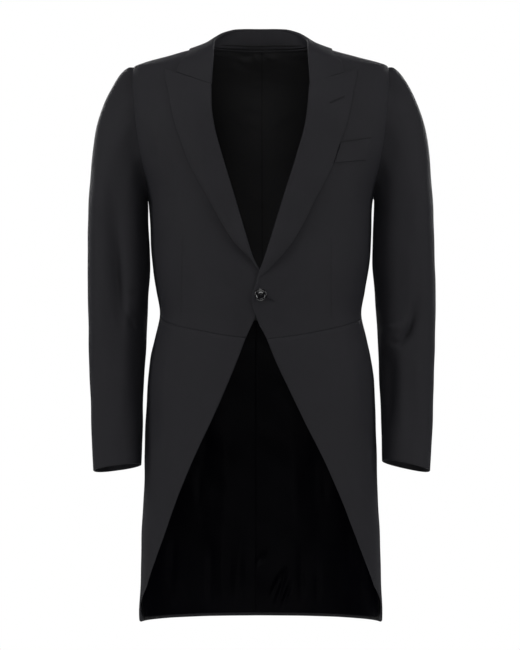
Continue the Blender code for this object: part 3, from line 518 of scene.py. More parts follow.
def sew(name, outer, inner, threads, outside, inside=None, lined=None, free=()):
    """A closed sheet of cloth between its faces, its edges turned in a half round.

    threads is each point's place along and across the weave, lined says which of the inner face's
    squares show the lining, and free is a dict of the roundings of edges not sewn flat.
    """
    rows, columns = outer.shape[:2]
    border = [(0, c) for c in range(columns)] + [(r, columns - 1) for r in range(1, rows)]
    border += [(rows - 1, c) for c in range(columns - 2, -1, -1)] + [(r, 0) for r in range(rows - 2, 0, -1)]
    r, c = np.array(border).T
    turns = []
    for at, other, sides, count, length in (
        (r, c, ("top", "foot"), rows, columns),
        (c, r, ("front", "back"), columns, rows),
    ):
        inward = np.where(at == 0, 1, 0) - np.where(at == count - 1, 1, 0)
        near, far = (np.broadcast_to(dict(free).get(side, SEAM_ROUNDING), length)[other] for side in sides)
        turns.append((inward, np.where(inward == 1, near, far)[:, None]))
    (down, round_down), (along_it, round_along) = turns
    faces_drawn = []
    for grid in (outer, inner):
        drawn = grid.copy()
        move = np.zeros((len(r), 3))
        for dr, dc, rounding in ((down, 0, round_down), (0, along_it, round_along)):
            step = grid[r + dr, c + dc] - grid[r, c]
            size = np.linalg.norm(step, axis=-1, keepdims=True)
            move += unit(step) * np.minimum(SEAM_GAP + rounding, MOST_OF_SQUARE * size)
        drawn[r, c] += move
        size = np.linalg.norm(move, axis=-1, keepdims=True)
        faces_drawn.append((drawn, -unit(move) * np.maximum(size - SEAM_GAP, 0)))
    (outer, bulge), (inner, _) = faces_drawn
    middle, half = (outer[r, c] + inner[r, c]) / 2, (outer[r, c] - inner[r, c]) / 2
    loops = []
    for k in range(1, ROUNDING_STEPS):
        turn = np.pi * k / ROUNDING_STEPS
        loops.append(middle + half * np.cos(turn) + bulge * np.sin(turn))
    points = np.concatenate([outer.reshape(-1, 3), inner.reshape(-1, 3)] + loops)
    flat = threads.reshape(-1, 2)
    weave_places = np.concatenate([flat, flat] + [threads[r, c]] * len(loops))
    index = np.arange(rows * columns).reshape(rows, columns)
    quads = [index[:-1, :-1], index[:-1, 1:], index[1:, 1:], index[1:, :-1]]
    quads = np.stack(quads, axis=-1).reshape(-1, 4)
    rings = [index[r, c]]
    rings += [2 * rows * columns + k * len(r) + np.arange(len(r)) for k in range(len(loops))]
    rings += [index[r, c] + rows * columns]
    faces = [quads, quads[:, ::-1] + rows * columns]
    for near, far in zip(rings, rings[1:]):
        faces.append(np.stack([np.roll(near, -1), near, far, np.roll(far, -1)], axis=-1))
    finish = np.zeros(sum(map(len, faces)), int)
    if inside is not None:
        finish[len(quads) : 2 * len(quads)] = 1 if lined is None else lined.reshape(-1)
    faces = np.concatenate(faces)
    a, b, c, d = points[faces].swapaxes(0, 1)
    if (a * (np.cross(b, c) + np.cross(c, d))).sum() < 0:
        faces = faces[:, ::-1]
    return build(name, points, faces, weave_places, [cloth for cloth in (outside, inside) if cloth], finish)


def build(name, points, faces, weave_places, materials, finish=None):
    """An object in the shared frame, from points in millimetres, its weave's places as its UVs."""
    mesh = bpy.data.meshes.new(name)
    placed = (np.asarray(points, float) - (0, NAPE_BEHIND_MIDDLE, 0)) * MM
    mesh.from_pydata(placed.tolist(), [], faces if isinstance(faces, list) else faces.tolist())
    for material in materials:
        mesh.materials.append(material)
    corner = np.empty(len(mesh.loops), int)
    mesh.loops.foreach_get("vertex_index", corner)
    layer = mesh.uv_layers.new(name="UVMap")
    layer.data.foreach_set("uv", np.asarray(weave_places, np.float32)[corner].reshape(-1))
    mesh.polygons.foreach_set("use_smooth", np.ones(len(mesh.polygons), bool))
    mesh.set_sharp_from_angle(angle=SHARP_TURN)
    if finish is not None:
        mesh.polygons.foreach_set("material_index", finish.astype(np.int32))
    piece = bpy.data.objects.new(name, mesh)
    scene.collection.objects.link(piece)
    return piece


def dress(piece, node):
    """Hang a piece from the root body and hide the model part it stands in for."""
    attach(piece, "root")
    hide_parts(node)


def threads_of(angle, height):
    """Where each point of a body panel lies in the weave: round the body and down it."""
    half, front, back, _ = read(BODY, height)
    girth = 2 * np.pi * np.sqrt((half**2 + ((front + back) / 2) ** 2) / 2)
    return np.stack([angle / 360 * girth, height], axis=-1)


def lining_shows(rows, columns, facing=0, hem=0):
    """Which squares of an inner face show the lining: all but a facing in front and a hem."""
    shows = np.ones((rows - 1, columns - 1), bool)
    shows[:, :facing] = False
    shows[rows - 1 - hem :] = False
    return shows


def panel(name, side, grid, outside, inside=None, lined=None, free=(), out=0.0, thickness=CLOTH):
    """A piece of cloth lying on the body."""
    angle, height = grid[..., 0], grid[..., 1]
    out = np.broadcast_to(out, angle.shape)
    outer, inner = body(angle, height, side, out), body(angle, height, side, out - thickness)
    return sew(name, outer, inner, threads_of(angle, height), outside, inside, lined, free)


FINER = 6
NECK_STEPS, ROLL_STEPS, EDGE_STEPS = 6 * FINER, 13 * FINER, 6 * FINER
ARMHOLE_STEPS, SIDE_STEPS = 13 * FINER, 12 * FINER
FOREPART_COLUMNS = 11 * FINER
ROLL_RADIUS = 3.0
ROLL_CLEARANCE = 0.7
FOOT_CLEARANCE = (3.4, 2.6, 1.8, 1.0, 0.4)
UNDERLAP, UNDERLAP_EDGE, UNDERLAP_END = 2.7, 16.0, 48.0
UNDERLAP_FROM, UNDERLAP_FULL = -330.0, -360.0
FACING_COLUMNS = 24
# Lines on each forepart: the front dart, sewn in; on the left the front buttonhole's slit and the breast
# pocket's mouth, and on the right a crease over the chest, all three painted shade.
FOREPART_LINES = {
    LEFT: [
        (112.6, -322, 113.4, -450, 1.3, 0.25, 3.0),
        # painted shade in the front buttonhole's slit, darker cloth with a slight groove
        (5.0, -419.0, 20.0, -425.0, 1.2, 0.3, 2.0),
        # painted shadow in the breast pocket's mouth, under the welt's top edge
        (126.5, -169.9, 178.5, -161.0, 1.6, 0.45, 4.0),
    ],
    RIGHT: [
        (-126.0, -322, -128.2, -452, 1.3, 0.25, 3.0),
        # painted shade along a crease over the chest, over a shallow sunken fold
        (-144, -196, -144, -272, 3.5, 0.06, 0.6),
    ],
}

lining_satin = cloth_material("black_satin_lining", SATIN)


def underlap(points):
    """How far the right forepart is tucked in, so that the left one lies over it."""
    away = ease((-points[..., 0] - UNDERLAP_EDGE) / (UNDERLAP_END - UNDERLAP_EDGE))
    low = np.clip((points[..., 2] - UNDERLAP_FROM) / (UNDERLAP_FULL - UNDERLAP_FROM), 0, 1)
    return -UNDERLAP * (1 - away) * low


def forepart_grid(side):
    """The angles and heights of a forepart, and its waist seam."""
    roll_edge = places(ROLL, side, shifted=True, out=ROLL_RADIUS + ROLL_CLEARANCE)
    for row, clear in zip(ROLL_FOOT[side], FOOT_CLEARANCE):
        roll_edge += places([row], side, out=clear)
    front_edge = places(FRONT_EDGE[side])
    neck = [SIDE_NECK] + places(FRONT_NECK) + [roll_edge[0]]
    waist = [front_edge[-1]] + FRONT_WAIST + [SIDE_WAIST]
    front = edge((neck, NECK_STEPS), (roll_edge, ROLL_STEPS), ([roll_edge[-1]] + front_edge, EDGE_STEPS))
    back = edge((ARMHOLE_FRONT, ARMHOLE_STEPS), (SIDE_SEAM, SIDE_STEPS))
    shoulder, foot = edge((SHOULDER_SEAM, FOREPART_COLUMNS)), edge((waist, FOREPART_COLUMNS))
    return patch(shoulder, foot, front, back), waist


for side, label in SIDES:
    grid, _ = forepart_grid(side)
    points, _ = plain_body(grid[..., 0], grid[..., 1])
    tuck = underlap(points * (side, 1, 1)) if side == RIGHT else 0.0
    lined = lining_shows(*points.shape[:2], facing=FACING_COLUMNS)
    darts_and_painted_shade = cloth_material("black_worsted_darted_" + label, WORSTED, FOREPART_LINES[side])
    edges = {"front": EDGE_ROUNDING}
    piece = panel("worn_forepart_" + label, side, grid, darts_and_painted_shade, lining_satin, lined, edges, tuck)
    dress(piece, "forepart_" + label)

# Side bodies: plain wool panels, one under each arm. Each is sewn to its forepart at the side
# seam and to its back at the curved back seam, and makes the underside of the armhole.
UNDERARM_COLUMNS = 6 * FINER
BACK_ARMHOLE = (109.5, -195)
PLEAT_TOP = (166, -449)
ARMHOLE_UNDER = [UNDERARM, (90, -251), (97, -244), (103.5, -224), BACK_ARMHOLE]
BACK_SEAM = [
    BACK_ARMHOLE, (117, -240), (128, -290), (141, -340), (153, -385), (162, -422), PLEAT_TOP,
]
UNDER_WAIST = [SIDE_WAIST, (120, -450), PLEAT_TOP]
wool = cloth_material("black_worsted", WORSTED)
for side, label in SIDES:
    grid = patch(
        edge((ARMHOLE_UNDER, UNDERARM_COLUMNS)),
        edge((UNDER_WAIST, UNDERARM_COLUMNS)),
        edge((SIDE_SEAM, SIDE_STEPS)),
        edge((BACK_SEAM, SIDE_STEPS)),
    )
    piece = panel("worn_side_body_" + label, side, grid, wool, lining_satin)
    dress(piece, "side_body_" + label)

# Backs: cut in one from the neck to the hem, joined down the centre to the waist and left open
# below it as a vent. The hem is turned up in self cloth.
NAPE, CENTRE_CHEST = (180, 0), (180, -190)
CENTRE_WAIST, CENTRE_HEM = (180, -449), (180, -959)
PLEAT_HEM = (158, -959)
PLEAT = [PLEAT_TOP, (163, -520), (160.5, -700), PLEAT_HEM]
BACK_NECK = [NAPE, (150, 0), (120, 0.3), SIDE_NECK]
ARMHOLE_BACK = [SHOULDER_TIP, (97.5, -48.5), (101.8, -76), (107, -108), (109.5, -145), BACK_ARMHOLE]
BACK_NECK_COLUMNS, BACK_SHOULDER_COLUMNS = 4 * FINER, 4 * FINER
BACK_ROWS = (10 * FINER, SIDE_STEPS, 12 * FINER)
HEM_ROWS = 1
for side, label in SIDES:
    grid = patch(
        edge((BACK_NECK, BACK_NECK_COLUMNS), (SHOULDER_SEAM, BACK_SHOULDER_COLUMNS)),
        edge(([CENTRE_HEM, PLEAT_HEM], BACK_NECK_COLUMNS + BACK_SHOULDER_COLUMNS)),
        edge(
            ([NAPE, CENTRE_CHEST], BACK_ROWS[0]),
            ([CENTRE_CHEST, CENTRE_WAIST], BACK_ROWS[1]),
            ([CENTRE_WAIST, CENTRE_HEM], BACK_ROWS[2]),
        ),
        edge((ARMHOLE_BACK, BACK_ROWS[0]), (BACK_SEAM, BACK_ROWS[1]), (PLEAT, BACK_ROWS[2])),
    )
    lined = lining_shows(*grid.shape[:2], hem=HEM_ROWS)
    piece = panel("worn_back_" + label, side, grid, wool, lining_satin, lined, {"foot": EDGE_ROUNDING})
    dress(piece, "back_" + label)

# Skirts: wool, sewn to the waist seam, cut away in a long curve in front and meeting the back at
# the pleat edge. The cutaway edge and the hem are turned in with self cloth.
SKIRT_FRONT_COLUMNS, SKIRT_BACK_COLUMNS = 7 * FINER, 6 * FINER
CUTAWAY_ROWS, FOOT_ROWS = 8 * FINER, 4 * FINER
SKIRT_CORNER = (99, -959)
CUTAWAY_HEIGHTS = (-523, -568, -613, -658, -704, -750, -796, -843)
CUTAWAY_ACROSS = {
    LEFT: (24.4, 45.9, 67.5, 90.4, 112.5, 132.2, 150.2, 168.6),
    RIGHT: (38.9, 57.5, 77.4, 98.8, 119.3, 137.6, 154.3, 171.6),
}
CUTAWAY = {side: [FRONT_EDGE[side][-1], *zip(CUTAWAY_ACROSS[side], CUTAWAY_HEIGHTS)] for side, _ in SIDES}
CUTAWAY_FOOT = [(69, -892), (81, -918), (88.5, -938), (91.5, -950), (94.5, -956.5), SKIRT_CORNER]
SKIRT_FACING = 8
SKIRT_EDGES = {"front": EDGE_ROUNDING, "foot": EDGE_ROUNDING}
for side, label in SIDES:
    _, waist = forepart_grid(side)
    cutaway = places(CUTAWAY[side])
    grid = patch(
        edge((waist, SKIRT_FRONT_COLUMNS), (UNDER_WAIST, SKIRT_BACK_COLUMNS)),
        edge(([SKIRT_CORNER, PLEAT_HEM], SKIRT_FRONT_COLUMNS + SKIRT_BACK_COLUMNS)),
        edge((cutaway + CUTAWAY_FOOT[:1], CUTAWAY_ROWS), (CUTAWAY_FOOT, FOOT_ROWS)),
        edge((PLEAT, CUTAWAY_ROWS + FOOT_ROWS)),
    )
    lined = lining_shows(*grid.shape[:2], facing=SKIRT_FACING, hem=HEM_ROWS)
    piece = panel("worn_skirt_" + label, side, grid, wool, lining_satin, lined, SKIRT_EDGES)
    dress(piece, "skirt_" + label)

# Lapels: wool facing that rolls over at the front edge, softly below and flatter above, with a
# crisp pressed edge. The top of each meets the collar at the gorge seam.

# Each row of a lapel: where it folds, across and height, and where its edge is.
LAPEL = [
    (79.0, -75.45, 157.2, -45.0),
    (78.5, -84, 155.6, -62),
    (78.0, -93, 150.3, -84),
    (77.0, -110, 144.2, -115),
]
LAPEL_EDGE = [
    (137.5, -142), (130.5, -162), (123.5, -181), (116.2, -202), (106.0, -223), (94.0, -245),
    (81.5, -268), (70.0, -291), (57.8, -313), (43.5, -335),
]
LAPEL += [fold + rim for fold, rim in zip(ROLL[2:], LAPEL_EDGE)]
LAPEL_FOOT = {
    LEFT: [(29.4, -357), (21.5, -365), (15.0, -372), (7.0, -380), (-3.6, -388.5)],
    RIGHT: [(20.0, -354.5), (13.4, -363), (7.2, -371.8), (1.2, -379.8), (-3.0, -386.6)],
}
THINNER_FROM, THINNER_TO, THINNEST = -345, -386, 0.22
# How a lapel lies: height, its edge's rise off the forepart, how far it swells between.
LAPEL_LIE = [
    (-386, 0.2, 0.1), (-370, 1.2, 0.6), (-350, 2.6, 1.6), (-310, 3.8, 3.4), (-260, 3.0, 3.8),
    (-200, 1.5, 3.2), (-130, 0.7, 2.6), (-40, 0.5, 2.0),
]
LAPEL_ROWS, LAPEL_STEPS, CURL_STEPS = 120, 26, 10
ROLL_SUNK = 3
NOTCH_FROM = 115.0
PRESSED_SEAM = 0.05
# The lapel buttonhole's slit: the cloth painted much darker along it as painted shade, and sunk.
LAPEL_SLIT_SHADE = [(111.5, -106.8, 133.5, -96.4, 1.2, 0.8, 6.0)]
lapel_wool = cloth_material("black_worsted_lapel_slit_shade", WORSTED, LAPEL_SLIT_SHADE)


def gorge_rounding(points):
    """The rounding of an edge pressed flat at the gorge seam and free past the notch."""
    return np.where(np.abs(points[:, 0]) > NOTCH_FROM, EDGE_ROUNDING, PRESSED_SEAM)


def curl(roll, radius):
    """The half turn of the cloth at a fold, as distances from the fold and rises."""
    turn = np.radians(np.linspace(-90, 90, CURL_STEPS + 1))
    return roll - radius * np.cos(turn), roll / ROLL_SUNK + radius * np.sin(turn)


def filled(table, count):
    """A table of this many rows, its own and smooth ones between them."""
    table = np.array(table, float)
    row = np.linspace(0, len(table) - 1, count)
    return np.stack([smooth(range(len(table)), column, row) for column in table.T], axis=-1)


def lay_over(length, rise_at_edge, softness, steps, size=1.0):
    """Distances and rises, right across a turned-down piece, of its shown and hidden faces."""
    faces = []
    share = np.linspace(0, 1, steps + 1)[1:]
    roll, cloth = ROLL_RADIUS * size, CLOTH * size
    for radius, lift in ((roll, cloth), (roll - cloth, 0.0)):
        distance, rise = curl(roll, radius)
        run = roll + share * (length - roll)
        lie = (1 - share) * (roll * (ROLL_SUNK + 1) / ROLL_SUNK - cloth) + share * rise_at_edge
        lie += softness * np.sin(np.pi * share) + lift
        faces.append((np.concatenate([distance, run]), np.concatenate([rise, lie])))
    return faces


for side, label in SIDES:
    table = np.array(LAPEL, float)
    table[:, 0] -= side * closing_shift(table[:, 1])
    table[:, 2] -= side * closing_shift(table[:, 3], OF_EDGE)
    table = np.concatenate([table, np.concatenate([ROLL_FOOT[side], LAPEL_FOOT[side]], axis=1)])
    fold_x, fold_z, rim_x, rim_z = filled(table, LAPEL_ROWS).T
    fold = np.stack([front_angle(fold_x, fold_z), fold_z], axis=-1)
    rim = np.stack([front_angle(rim_x, rim_z), rim_z], axis=-1)
    length = np.linalg.norm(plain_body(*fold.T)[0] - plain_body(*rim.T)[0], axis=-1)
    edge_rise, softness = read(LAPEL_LIE, fold_z)
    size = 1 - (1 - THINNEST) * ease((fold_z - THINNER_FROM) / (THINNER_TO - THINNER_FROM))
    shown, hidden, threads = [], [], []
    for k in range(LAPEL_ROWS):
        laid = lay_over(length[k], edge_rise[k], softness[k], LAPEL_STEPS, size[k])
        for face, (distance, rise) in zip((shown, hidden), laid):
            place = fold[k] + (rim[k] - fold[k]) * (distance / length[k])[:, None]
            face.append(body(place[:, 0], place[:, 1], side, rise))
        threads.append(np.stack([laid[0][0], np.full(len(laid[0][0]), fold_z[k])], axis=-1))
    shown, hidden, threads = np.array(shown), np.array(hidden), np.array(threads)
    if side == RIGHT:
        tuck = underlap(shown)[..., None] * (0, -1, 0)
        shown, hidden = shown + tuck, hidden + tuck
    edges = {"top": gorge_rounding(shown[0]), "back": EDGE_ROUNDING * size}
    cloth = lapel_wool if side == LEFT else wool
    piece = sew("worn_lapel_" + label, shown, hidden, threads, cloth, free=edges)
    dress(piece, "lapel_" + label)

# Collar: the stand rises from the neck seam to the fold, and the fall turns down over it, lying on
# the foreparts by the gorge and standing off round the neck. Wool on both faces.

# Each row of the collar: where it folds, the fall's edge and the neck seam as places on the body,
# and how far the fall swells between.
COLLAR = [
    (79.0, -91.3, -75.4, 35.7, -53.6, 17.6, -76, 3.6),
    (78.0, -74, -50, 35.6, -39, 18.9, -50, 3.4),
    (76.8, -60, -28, 40.0, -27, 23, -30, 2.4),
    (76.3, -41, -9, 50.0, -17.5, 37, -14, 1.0),
    (76.0, -19, 3.5, 68.0, -10.5, 58.7, -4, -0.6),
    (74.5, 4, 10.5, 88, -7, 86, 1.0, -2.0),
    (69.5, 23, 17.2, 107, -7, 106, 0.6, -1.6),
    (57.5, 42, 27.3, 128, -8, 126, 0.2, -0.4),
    (38.5, 54, 34.6, 147, -9.5, 146, 0, 0.4),
    (17.0, 59.3, 36, 166, -10.5, 165, 0, 0.5),
    (0.0, 60.5, 36, 180, -10.8, 180, 0, 0.5),
]
COLLAR_COLUMNS = 12 * 8 + 1
FALL_STEPS = 22
LEAF_RISE = 0.8
LYING_COLUMNS = 3 * 8
STAND_FROM = 4 * 8
STAND_ROWS = 16
STAND_FOOT, STAND_HEIGHT = 2.3, 40.0
ROLL_SOFTNESS = 1.6

half = filled(COLLAR, COLLAR_COLUMNS)
ends = [half[:, :3], plain_body(half[:, 3], half[:, 4])[0], plain_body(half[:, 5], half[:, 6])[0]]
fold, leaf, neck = (np.concatenate([part, part[-2::-1] * (-1, 1, 1)]) for part in ends)
swell, leaf_place = (np.concatenate([part, part[-2::-1]]) for part in (half[:, 7], half[:, 3:5]))
across = unit(leaf - fold)
run = unit(np.gradient(fold, axis=0))
away = unit(np.cross(across, run))
across = unit(np.cross(run, away))
fold_run = lengths(fold)

shown, hidden, threads = [], [], []
last = len(fold) - 1
for k in range(len(fold)):
    reach = leaf[k] - fold[k]
    length = np.linalg.norm(reach)
    side = RIGHT if k > last / 2 else LEFT
    free = np.clip(min(k, last - k) / LYING_COLUMNS, 0, 1)
    here = np.array([front_angle(abs(fold[k, 0]), fold[k, 2]), fold[k, 2]])
    softness = ROLL_SOFTNESS * (1 - free) + swell[k] * free
    laid = lay_over(length, LEAF_RISE, softness, FALL_STEPS)
    for face, (distance, rise) in zip((shown, hidden), laid):
        share = np.clip((distance - ROLL_RADIUS) / (length - ROLL_RADIUS), 0, 1)[:, None]
        curled = fold[k] + across[k] * distance[:, None]
        straight = fold[k] + reach * (distance / length)[:, None]
        stood = curled * (1 - share) + straight * share + away[k] * rise[:, None]
        if free < 1:
            place = here + (leaf_place[k] - here) * (distance / length)[:, None]
            stood = body(place[:, 0], place[:, 1], side, rise) * (1 - free) + stood * free
        face.append(stood)
    threads.append(np.stack([np.full(len(laid[0][0]), fold_run[k]), laid[0][0]], axis=-1))
shown, hidden, threads = np.array(shown), np.array(hidden), np.array(threads)
gorge = gorge_rounding(shown[0])
edges = {"top": gorge, "foot": gorge, "back": EDGE_ROUNDING}
piece = sew("worn_collar_fall", shown, hidden, threads, wool, free=edges)
dress(piece, "collar_fall")

inside, outside, threads = [], [], []
for k in range(STAND_FROM, len(fold) - STAND_FROM):
    top = fold[k] + across[k] * (ROLL_RADIUS + 2 * SEAM_GAP)
    foot = neck[k] + unit(top - neck[k]) * STAND_FOOT
    share = np.linspace(0, 1, STAND_ROWS + 1)[:, None]
    outside.append(foot + (top - foot) * share)
    inside.append(outside[-1] - away[k] * CLOTH)
    threads.append(np.stack([np.full(STAND_ROWS + 1, fold_run[k]), STAND_HEIGHT * share[:, 0]], axis=-1))
piece = sew("worn_collar_stand", np.array(outside), np.array(inside), np.array(threads), wool)
dress(piece, "collar_stand")

# Sleeves: each is a top sleeve and an under sleeve, eased into the armhole with a full crown and
# cut with a forward bend at the elbow, where the cloth breaks into creases. The cuffs are open.

# Rings round the arm: height, centre across, centre behind, half width, half depth.
ARM = [
    (-275, 236.6, 4, 49.2, 72),
    (-359, 236.8, 4, 51.4, 68),
    (-419, 239.3, 3, 49.9, 64),
    (-499, 240.2, 0, 47.0, 59),
    (-598, 240.8, -8, 43.3, 55),
    (-638, 240.4, -12, 41.8, 53),
    (-697, 239.4, -18, 39.4, 51),
    (-720, 239.2, -20, 39.0, 51),
]
# Turns round the arm, from the top forwards, of the armhole's places.
ROUND_ARM = (0, 22, 42, 64, 82, 101, 128, 148, 165, 180, 198, 222, 246, 275, 298, 320, 340, 360)
ARMHOLE = ARMHOLE_FRONT + ARMHOLE_UNDER[1:] + ARMHOLE_BACK[-2::-1]
ARM_POWER = 2.5
BICEP, CUFF = -275.0, -697.0
SEAM_IN_FRONT, SEAM_BEHIND = 165.0, 262.0
TOP_COLUMNS, UNDER_COLUMNS = 14 * 8, 5 * 8
HEAD_ROWS, ARM_ROWS = 7 * 8, 15 * 9
HEAD_OUT, ROPING = 0.9, 2.2
HEAD_SEAT, HEAD_CLOSENESS, EASE_IN = -1.1, 1.6, 9.0
HEAD_FULLNESS, FULL_FROM_TOP, FULL_TIGHTNESS = 5.0, 1.3, 4
CROWN_LEAVES, UNDERARM_LEAVES = np.array((0.99, 0, -0.12)), np.array((0.08, 0, -1.0))
CROWN_ARRIVES, UNDERARM_ARRIVES = np.array((0.05, 0, -1.0)), np.array((0, 0, -1.0))
CROWN_PULL, CROWN_SETTLE, UNDERARM_PULL = 0.52, 1.31, 0.9
FORWARD_SWAY = -0.10
CUFF_OUTWARD_DROP, CUFF_BACKWARD_DROP = {LEFT: 0.22, RIGHT: 0.14}, 0.15
SWING = {LEFT: 1.0, RIGHT: -2.6}
CUFF_LONGER = {LEFT: 0.0, RIGHT: 3.0}
SWING_FROM, SWING_TO = -290.0, -440.0
SLEEVE_FRONT_FOLDS = [
    (-245, -180, -236, -330, -225, -505, 17.0, 9.0, 0.66, -13.5),
    (-196, -404, -206, -416, -222, -408, 4.5, 6.0, 0.5, -1.6),
    (-197, -476, -207, -464, -226, -436, 5.0, 6.5, 0.4, -3.0),
    (-206, -456, -214, -446, -226, -424, 5.0, 6.5, 0.4, 2.4),
    (-202, -405, -204, -540, -204, -670, 15.0, 12.0, 0.3, -7.0),
    (-228, -520, -230, -600, -228, -670, 10.0, 11.0, 0.5, 1.8),
    (-262, -300, -258, -400, -256, -520, 10.0, 13.0, 0.5, 2.0),
    (254, -400, 256, -480, 217, -501, 6.5, 7.0, 0.65, -10.5),
    (238, -492, 218, -498, 198, -480, 6.0, 4.5, 0.5, -4.0),
    (240, -458, 222, -472, 198, -468, 5.0, 6.0, 0.6, 4.5),
    (208, -480, 208, -590, 204, -690, 14.0, 14.0, 0.28, -12.5),
    (228, -520, 230, -600, 226, -690, 9.0, 12.0, 0.4, 2.2),
    (240, -300, 244, -380, 240, -450, 9.0, 12.0, 0.6, 2.0),
    (228, -174, 238, -176, 248, -172, 2.6, 2.6, 0.5, -0.5),
    (226, -295, 236, -298, 246, -296, 2.6, 2.6, 0.5, -0.5),
    (262, -500, 258, -560, 252, -640, 8.0, 11.0, 0.4, 1.6),
]
SLEEVE_BACK_FOLDS = [
    (-262, -180, -250, -260, -238, -350, 9.0, 8.0, 0.5, 1.8),
    (-214, -250, -222, -330, -240, -400, 7.0, 7.0, 0.6, -1.6),
    (-270, -560, -250, -570, -226, -556, 6.0, 6.0, 0.5, -1.0),
    (260, -185, 250, -270, 236, -345, 9.0, 8.0, 0.5, 1.8),
    (212, -255, 224, -340, 242, -405, 7.0, 7.0, 0.6, -1.6),
    (268, -550, 248, -560, 222, -548, 6.0, 6.0, 0.5, -1.0),
]
CUFF_TURNING_ROWS = 9
SLEEVE_FOLD_FADE, SETTLED_BY, SLEEVE_GIRTH = 2.2, 1 / 8, 340.0
TOP_SLEEVE_CUT = (0.30, 0.70, 0.155)
UNDER_SLEEVE_CUT = (0.12, 0.54, 0.048)


def arm_ring(turn, height, side, tilt=0.0):
    """Points round the sleeve at one height, tilted towards the cut of the cuff."""
    centre_x, centre_y, wide, deep = read(ARM, height)
    c, s = np.cos(np.radians(turn)), np.sin(np.radians(turn))
    outward = wide * np.sign(c) * np.abs(c) ** (2 / ARM_POWER)
    backward = -deep * np.sign(s) * np.abs(s) ** (2 / ARM_POWER)
    drop = tilt * (CUFF_OUTWARD_DROP[side] * outward + CUFF_BACKWARD_DROP * backward)
    return np.stack([centre_x + outward, centre_y + backward, height - drop], axis=-1)


def sleeve_tube(turn, side):
    """The sleeve's outer face: a row of points at each level, one for each turn round the arm."""
    seat, _ = plain_body(*(smooth(ROUND_ARM, column, turn % 360) for column in zip(*ARMHOLE)))
    high = (1 + np.cos(np.radians(turn)))[:, None] / 2
    low = 1 - high
    start = seat + (HEAD_OUT, 0, 0) + high**2 * (0, 0, ROPING)
    end = arm_ring(turn, BICEP, side)
    reach = np.linalg.norm(end - start, axis=-1, keepdims=True)
    sway = FORWARD_SWAY * np.sin(np.radians(turn))[:, None] * (0, 1, 0)
    leave = unit(high * CROWN_LEAVES + low * UNDERARM_LEAVES + sway)
    arrive = unit(high * CROWN_ARRIVES + low * UNDERARM_ARRIVES)
    rows, sunk = [], []
    for t in np.linspace(0, 1, HEAD_ROWS + 1) ** HEAD_CLOSENESS:
        fullness = HEAD_FULLNESS * np.sin(np.pi * t**FULL_FROM_TOP) ** FULL_TIGHTNESS
        rows.append(
            (1 + 2 * t) * (1 - t) ** 2 * start
            + t * (1 - t) ** 2 * reach * (CROWN_PULL * high + UNDERARM_PULL * low) * leave
            + t**2 * (3 - 2 * t) * end
            - t**2 * (1 - t) * reach * (CROWN_SETTLE * high + UNDERARM_PULL * low) * arrive
            + fullness * high**2 * (1, 0, 0)
        )
        stood_off = 1 - ease(np.linalg.norm(rows[-1] - rows[0], axis=-1) / EASE_IN)[:, None]
        sunk.append(stood_off * ((HEAD_OUT - HEAD_SEAT, 0, 0) + high**2 * (0, 0, ROPING)))
    rows = [row - drop for row, drop in zip(rows, sunk)]
    for share in np.linspace(0, 1, ARM_ROWS + 1)[1:]:
        height = BICEP + (CUFF - CUFF_LONGER[side] - BICEP) * share
        swing = SWING[side] * ease((height - SWING_FROM) / (SWING_TO - SWING_FROM))
        rows.append(arm_ring(turn, height, side, share**3) + (swing, 0, 0))
    return np.array(rows)


for side, label in SIDES:
    for name, cut, first, last, columns in (
        ("top_sleeve_", TOP_SLEEVE_CUT, SEAM_BEHIND - 360, SEAM_IN_FRONT, TOP_COLUMNS),
        ("under_sleeve_", UNDER_SLEEVE_CUT, SEAM_IN_FRONT, SEAM_BEHIND, UNDER_COLUMNS),
    ):
        turn = np.linspace(first, last, columns + 1)
        outer = sleeve_tube(turn, side)
        round_it = sleeve_tube(turn + 1, side) - sleeve_tube(turn - 1, side)
        away = unit(np.cross(round_it, np.gradient(outer, axis=0))) * (side, 1, 1)
        outer = outer * (side, 1, 1)
        lift = draped(outer, away, away[..., 1] < 0, SLEEVE_FRONT_FOLDS, SLEEVE_BACK_FOLDS, SLEEVE_FOLD_FADE)
        lift += uneven(outer) * ease(np.linspace(0, 1, len(outer)) / SETTLED_BY)[:, None]
        outer = outer + away * lift[..., None]
        down = np.linalg.norm(np.diff(outer, axis=0), axis=-1).mean(axis=1).cumsum()
        down = np.broadcast_to(-np.concatenate([[0], down])[:, None], outer.shape[:2])
        threads = np.stack([np.broadcast_to(turn / 360 * SLEEVE_GIRTH, outer.shape[:2]), down], axis=-1)
        lined = lining_shows(*outer.shape[:2], hem=CUFF_TURNING_ROWS)
        faces = outer, outer - away * CLOTH
        edges = {"top": 0.0, "foot": EDGE_ROUNDING}
        piece = sew("worn_" + name + label, *faces, threads, wool, lining_satin, lined, edges)
        dress(piece, name + label)

# Linings: thin black satin, one piece behind the neck and chest with a seam down its middle, and
# one in each skirt. They are cut with ease, so they pucker at the neck and drag in soft folds.
LINING = 1.0
LINING_OUT = -(CLOTH + 2.0)
BACK_LINING_SIDE = [
    (101, -4), (106, -60), (113, -120), (113, -190), (101, -250), (94, -340), (92, -460),
]
BACK_LINING_NECK = [BACK_LINING_SIDE[0], (130, 1.5), (180, 3), (230, 1.5), (259, -4)]
NECK_TUCK, NECK_TUCK_TO = 1.4, 14.0
NECK_RISE, NECK_RISE_TO, STAND_LEAN = 8.0, 24.0, 0.18
RISE_BEHIND, RISE_WIDENS = 10.0, 30.0
NECK_SEWN_FLAT = 6.0
WAIST_LAP, WAIST_LAP_FROM, WAIST_LAP_FULL = 2.6, -434.0, -446.0
BACK_LINING_WAIST = [BACK_LINING_SIDE[-1], (180, -456), (268, -460)]
BACK_LINING_COLUMNS, BACK_LINING_ROWS = 14 * 10, 12 * 11
